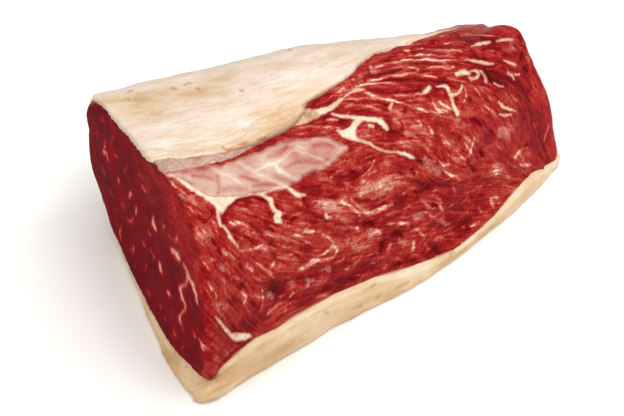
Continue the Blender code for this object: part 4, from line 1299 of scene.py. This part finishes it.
def make_top_fat():
    """The sheet of fat over the crown, smoother at its cut end, and finer where the picture shows it."""
    piece = fine_copy("top_fat", "top_fat_sheet", voxel=1.3, rounds=12)
    reach = points_of(piece)[0] @ CUT_WAY
    smooth_there(piece, reach > reach.max() - 9 * MM, rounds=14)
    refine(piece, faces_of(piece)[1] @ np.array(BACK) > 0.15)
    draw_top_fat(piece)
    shape_top_fat(piece)
    pale = ("c29f77", "d6bb9b", "dfcab8", "e8dad0")
    dress(piece, soft_fat("pale_fat", pale, vein="c2965f", spot="b0713a"))
    return piece


def draw_cap(piece):
    """The cap's stains, and how bright its places are: brighter to the right, with painted light on its
    upward faces and a painted highlight along the lean.
    """
    co, normal = points_of(piece)
    pixels, _, seen = as_seen(co, normal)
    store(piece, "fibres", (*combed(pixels, CAP_GRAIN), seen))
    bright = 0.15 * ease(*BRIGHT_CAP, pixels[:, 0]) - 0.12 - areas(pixels, CAP_AREAS)
    # painted light on the faces that turn up
    bright += 0.16 * ease(0.25, 0.6, normal[:, 2])
    # a painted highlight along the lean
    bright += 0.25 * fading(from_low_edge(pixels), 3) * ease(*SEAM_HIGHLIGHT, pixels[:, 0])
    store(piece, "shade", (bright * seen, 0.35))
    apart, width = along_lines(pixels, CAP_STAINS)
    store(piece, "marks", (0.6 * fading(apart, width + 0.5) * seen,))


def shape_cap(piece):
    """Makes the cap a little uneven, presses its top into the meat, and rounds it out along the lean."""
    co, normal = points_of(piece)
    pixels, _, seen = as_seen(co, normal)
    lift = 0.5 * bumps(co / MM, 14, 11) + 0.2 * bumps(co / MM, 4, 12)
    lift += 1.3 * ease(0.4, 0.8, normal[:, 2]) + 0.9 * fading(from_low_edge(pixels), 3) * seen
    co += normal * (lift * MM)[:, None]
    co[:, 2] = np.maximum(co[:, 2], 0)
    move_points(piece, co)


def make_cap():
    """The thick cap beneath, smoother at the foot of its cut end, and finer where the picture shows it."""
    piece = fine_copy("fat_cap", "fat_cap_block", voxel=1.3, rounds=14)
    co = points_of(piece)[0]
    reach = co @ CUT_WAY
    smooth_there(piece, (reach > reach.max() - 30 * MM) & (co[:, 2] < CAP_RIM * MM), rounds=14)
    centre, normal = faces_of(piece)
    refine(piece, (normal @ np.array(BACK) > 0.1) & (in_picture(centre)[:, 1] > CAP_TOP))
    draw_cap(piece)
    shape_cap(piece)
    tan = ("bf9768", "d2b186", "dec29e", "e8d4b7")
    dress(piece, soft_fat("cap_fat", tan, vein="c39765", spot="a06a35"))
    return piece


def place_camera():
    """The camera at the picture's viewing angle."""
    bpy.ops.object.camera_add(location=EYE)
    camera = bpy.context.view_layer.objects.active
    camera.rotation_euler = BACK.to_track_quat("Z", "Y").to_euler()
    camera.data.lens = LENS
    camera.data.sensor_width = SENSOR
    bpy.context.scene.camera = camera


def place_light():
    """Soft studio light: a room that is brighter overhead, and the lamps."""
    world = bpy.data.worlds.new("studio")
    world.use_nodes = True
    tree = world.node_tree
    tree.nodes.clear()
    way = add(tree, "SeparateXYZ", {0: add(tree, "TexCoord").outputs["Generated"]}).outputs
    level = add(tree, "MapRange", {0: way[2], 1: 0.0, 2: 0.7, 3: 0.22, 4: 0.80})
    room = add(tree, "Background", {0: (1, 0.99, 0.975, 1), 1: level})
    add(tree, "OutputWorld", {0: room})
    bpy.context.scene.world = world
    for place, size, power in LAMPS:
        bpy.ops.object.light_add(type="AREA", location=place)
        lamp = bpy.context.view_layer.objects.active
        lamp.data.shape = "DISK"
        lamp.data.size = size
        lamp.data.energy = power
        lamp.rotation_euler = Vector(place).to_track_quat("Z", "Y").to_euler()
    bpy.context.scene.view_settings.view_transform = "Standard"


def place_floor():
    """A plain pale floor, matt so that it shows only the soft shadow."""
    bpy.ops.mesh.primitive_plane_add(size=12, location=(0, 0, -0.2 * MM))
    floor = bpy.context.view_layer.objects.active
    floor.name = "floor"
    material, tree = new_material("matt_white_paint")
    shader = add(tree, "BsdfPrincipled", {
        "Base Color": rgb("fbfaf8"), "Roughness": 0.9, "Specular IOR Level": 0.1,
    })
    add(tree, "OutputMaterial", {0: shader})
    floor.data.materials.append(material)


def main():
    for make, node in ((make_lean, "lean"), (make_cap, "fat_cap"), (make_top_fat, "top_fat")):
        piece = make()
        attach(piece, "root")
        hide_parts(node)
    place_camera()
    place_light()
    place_floor()


main()
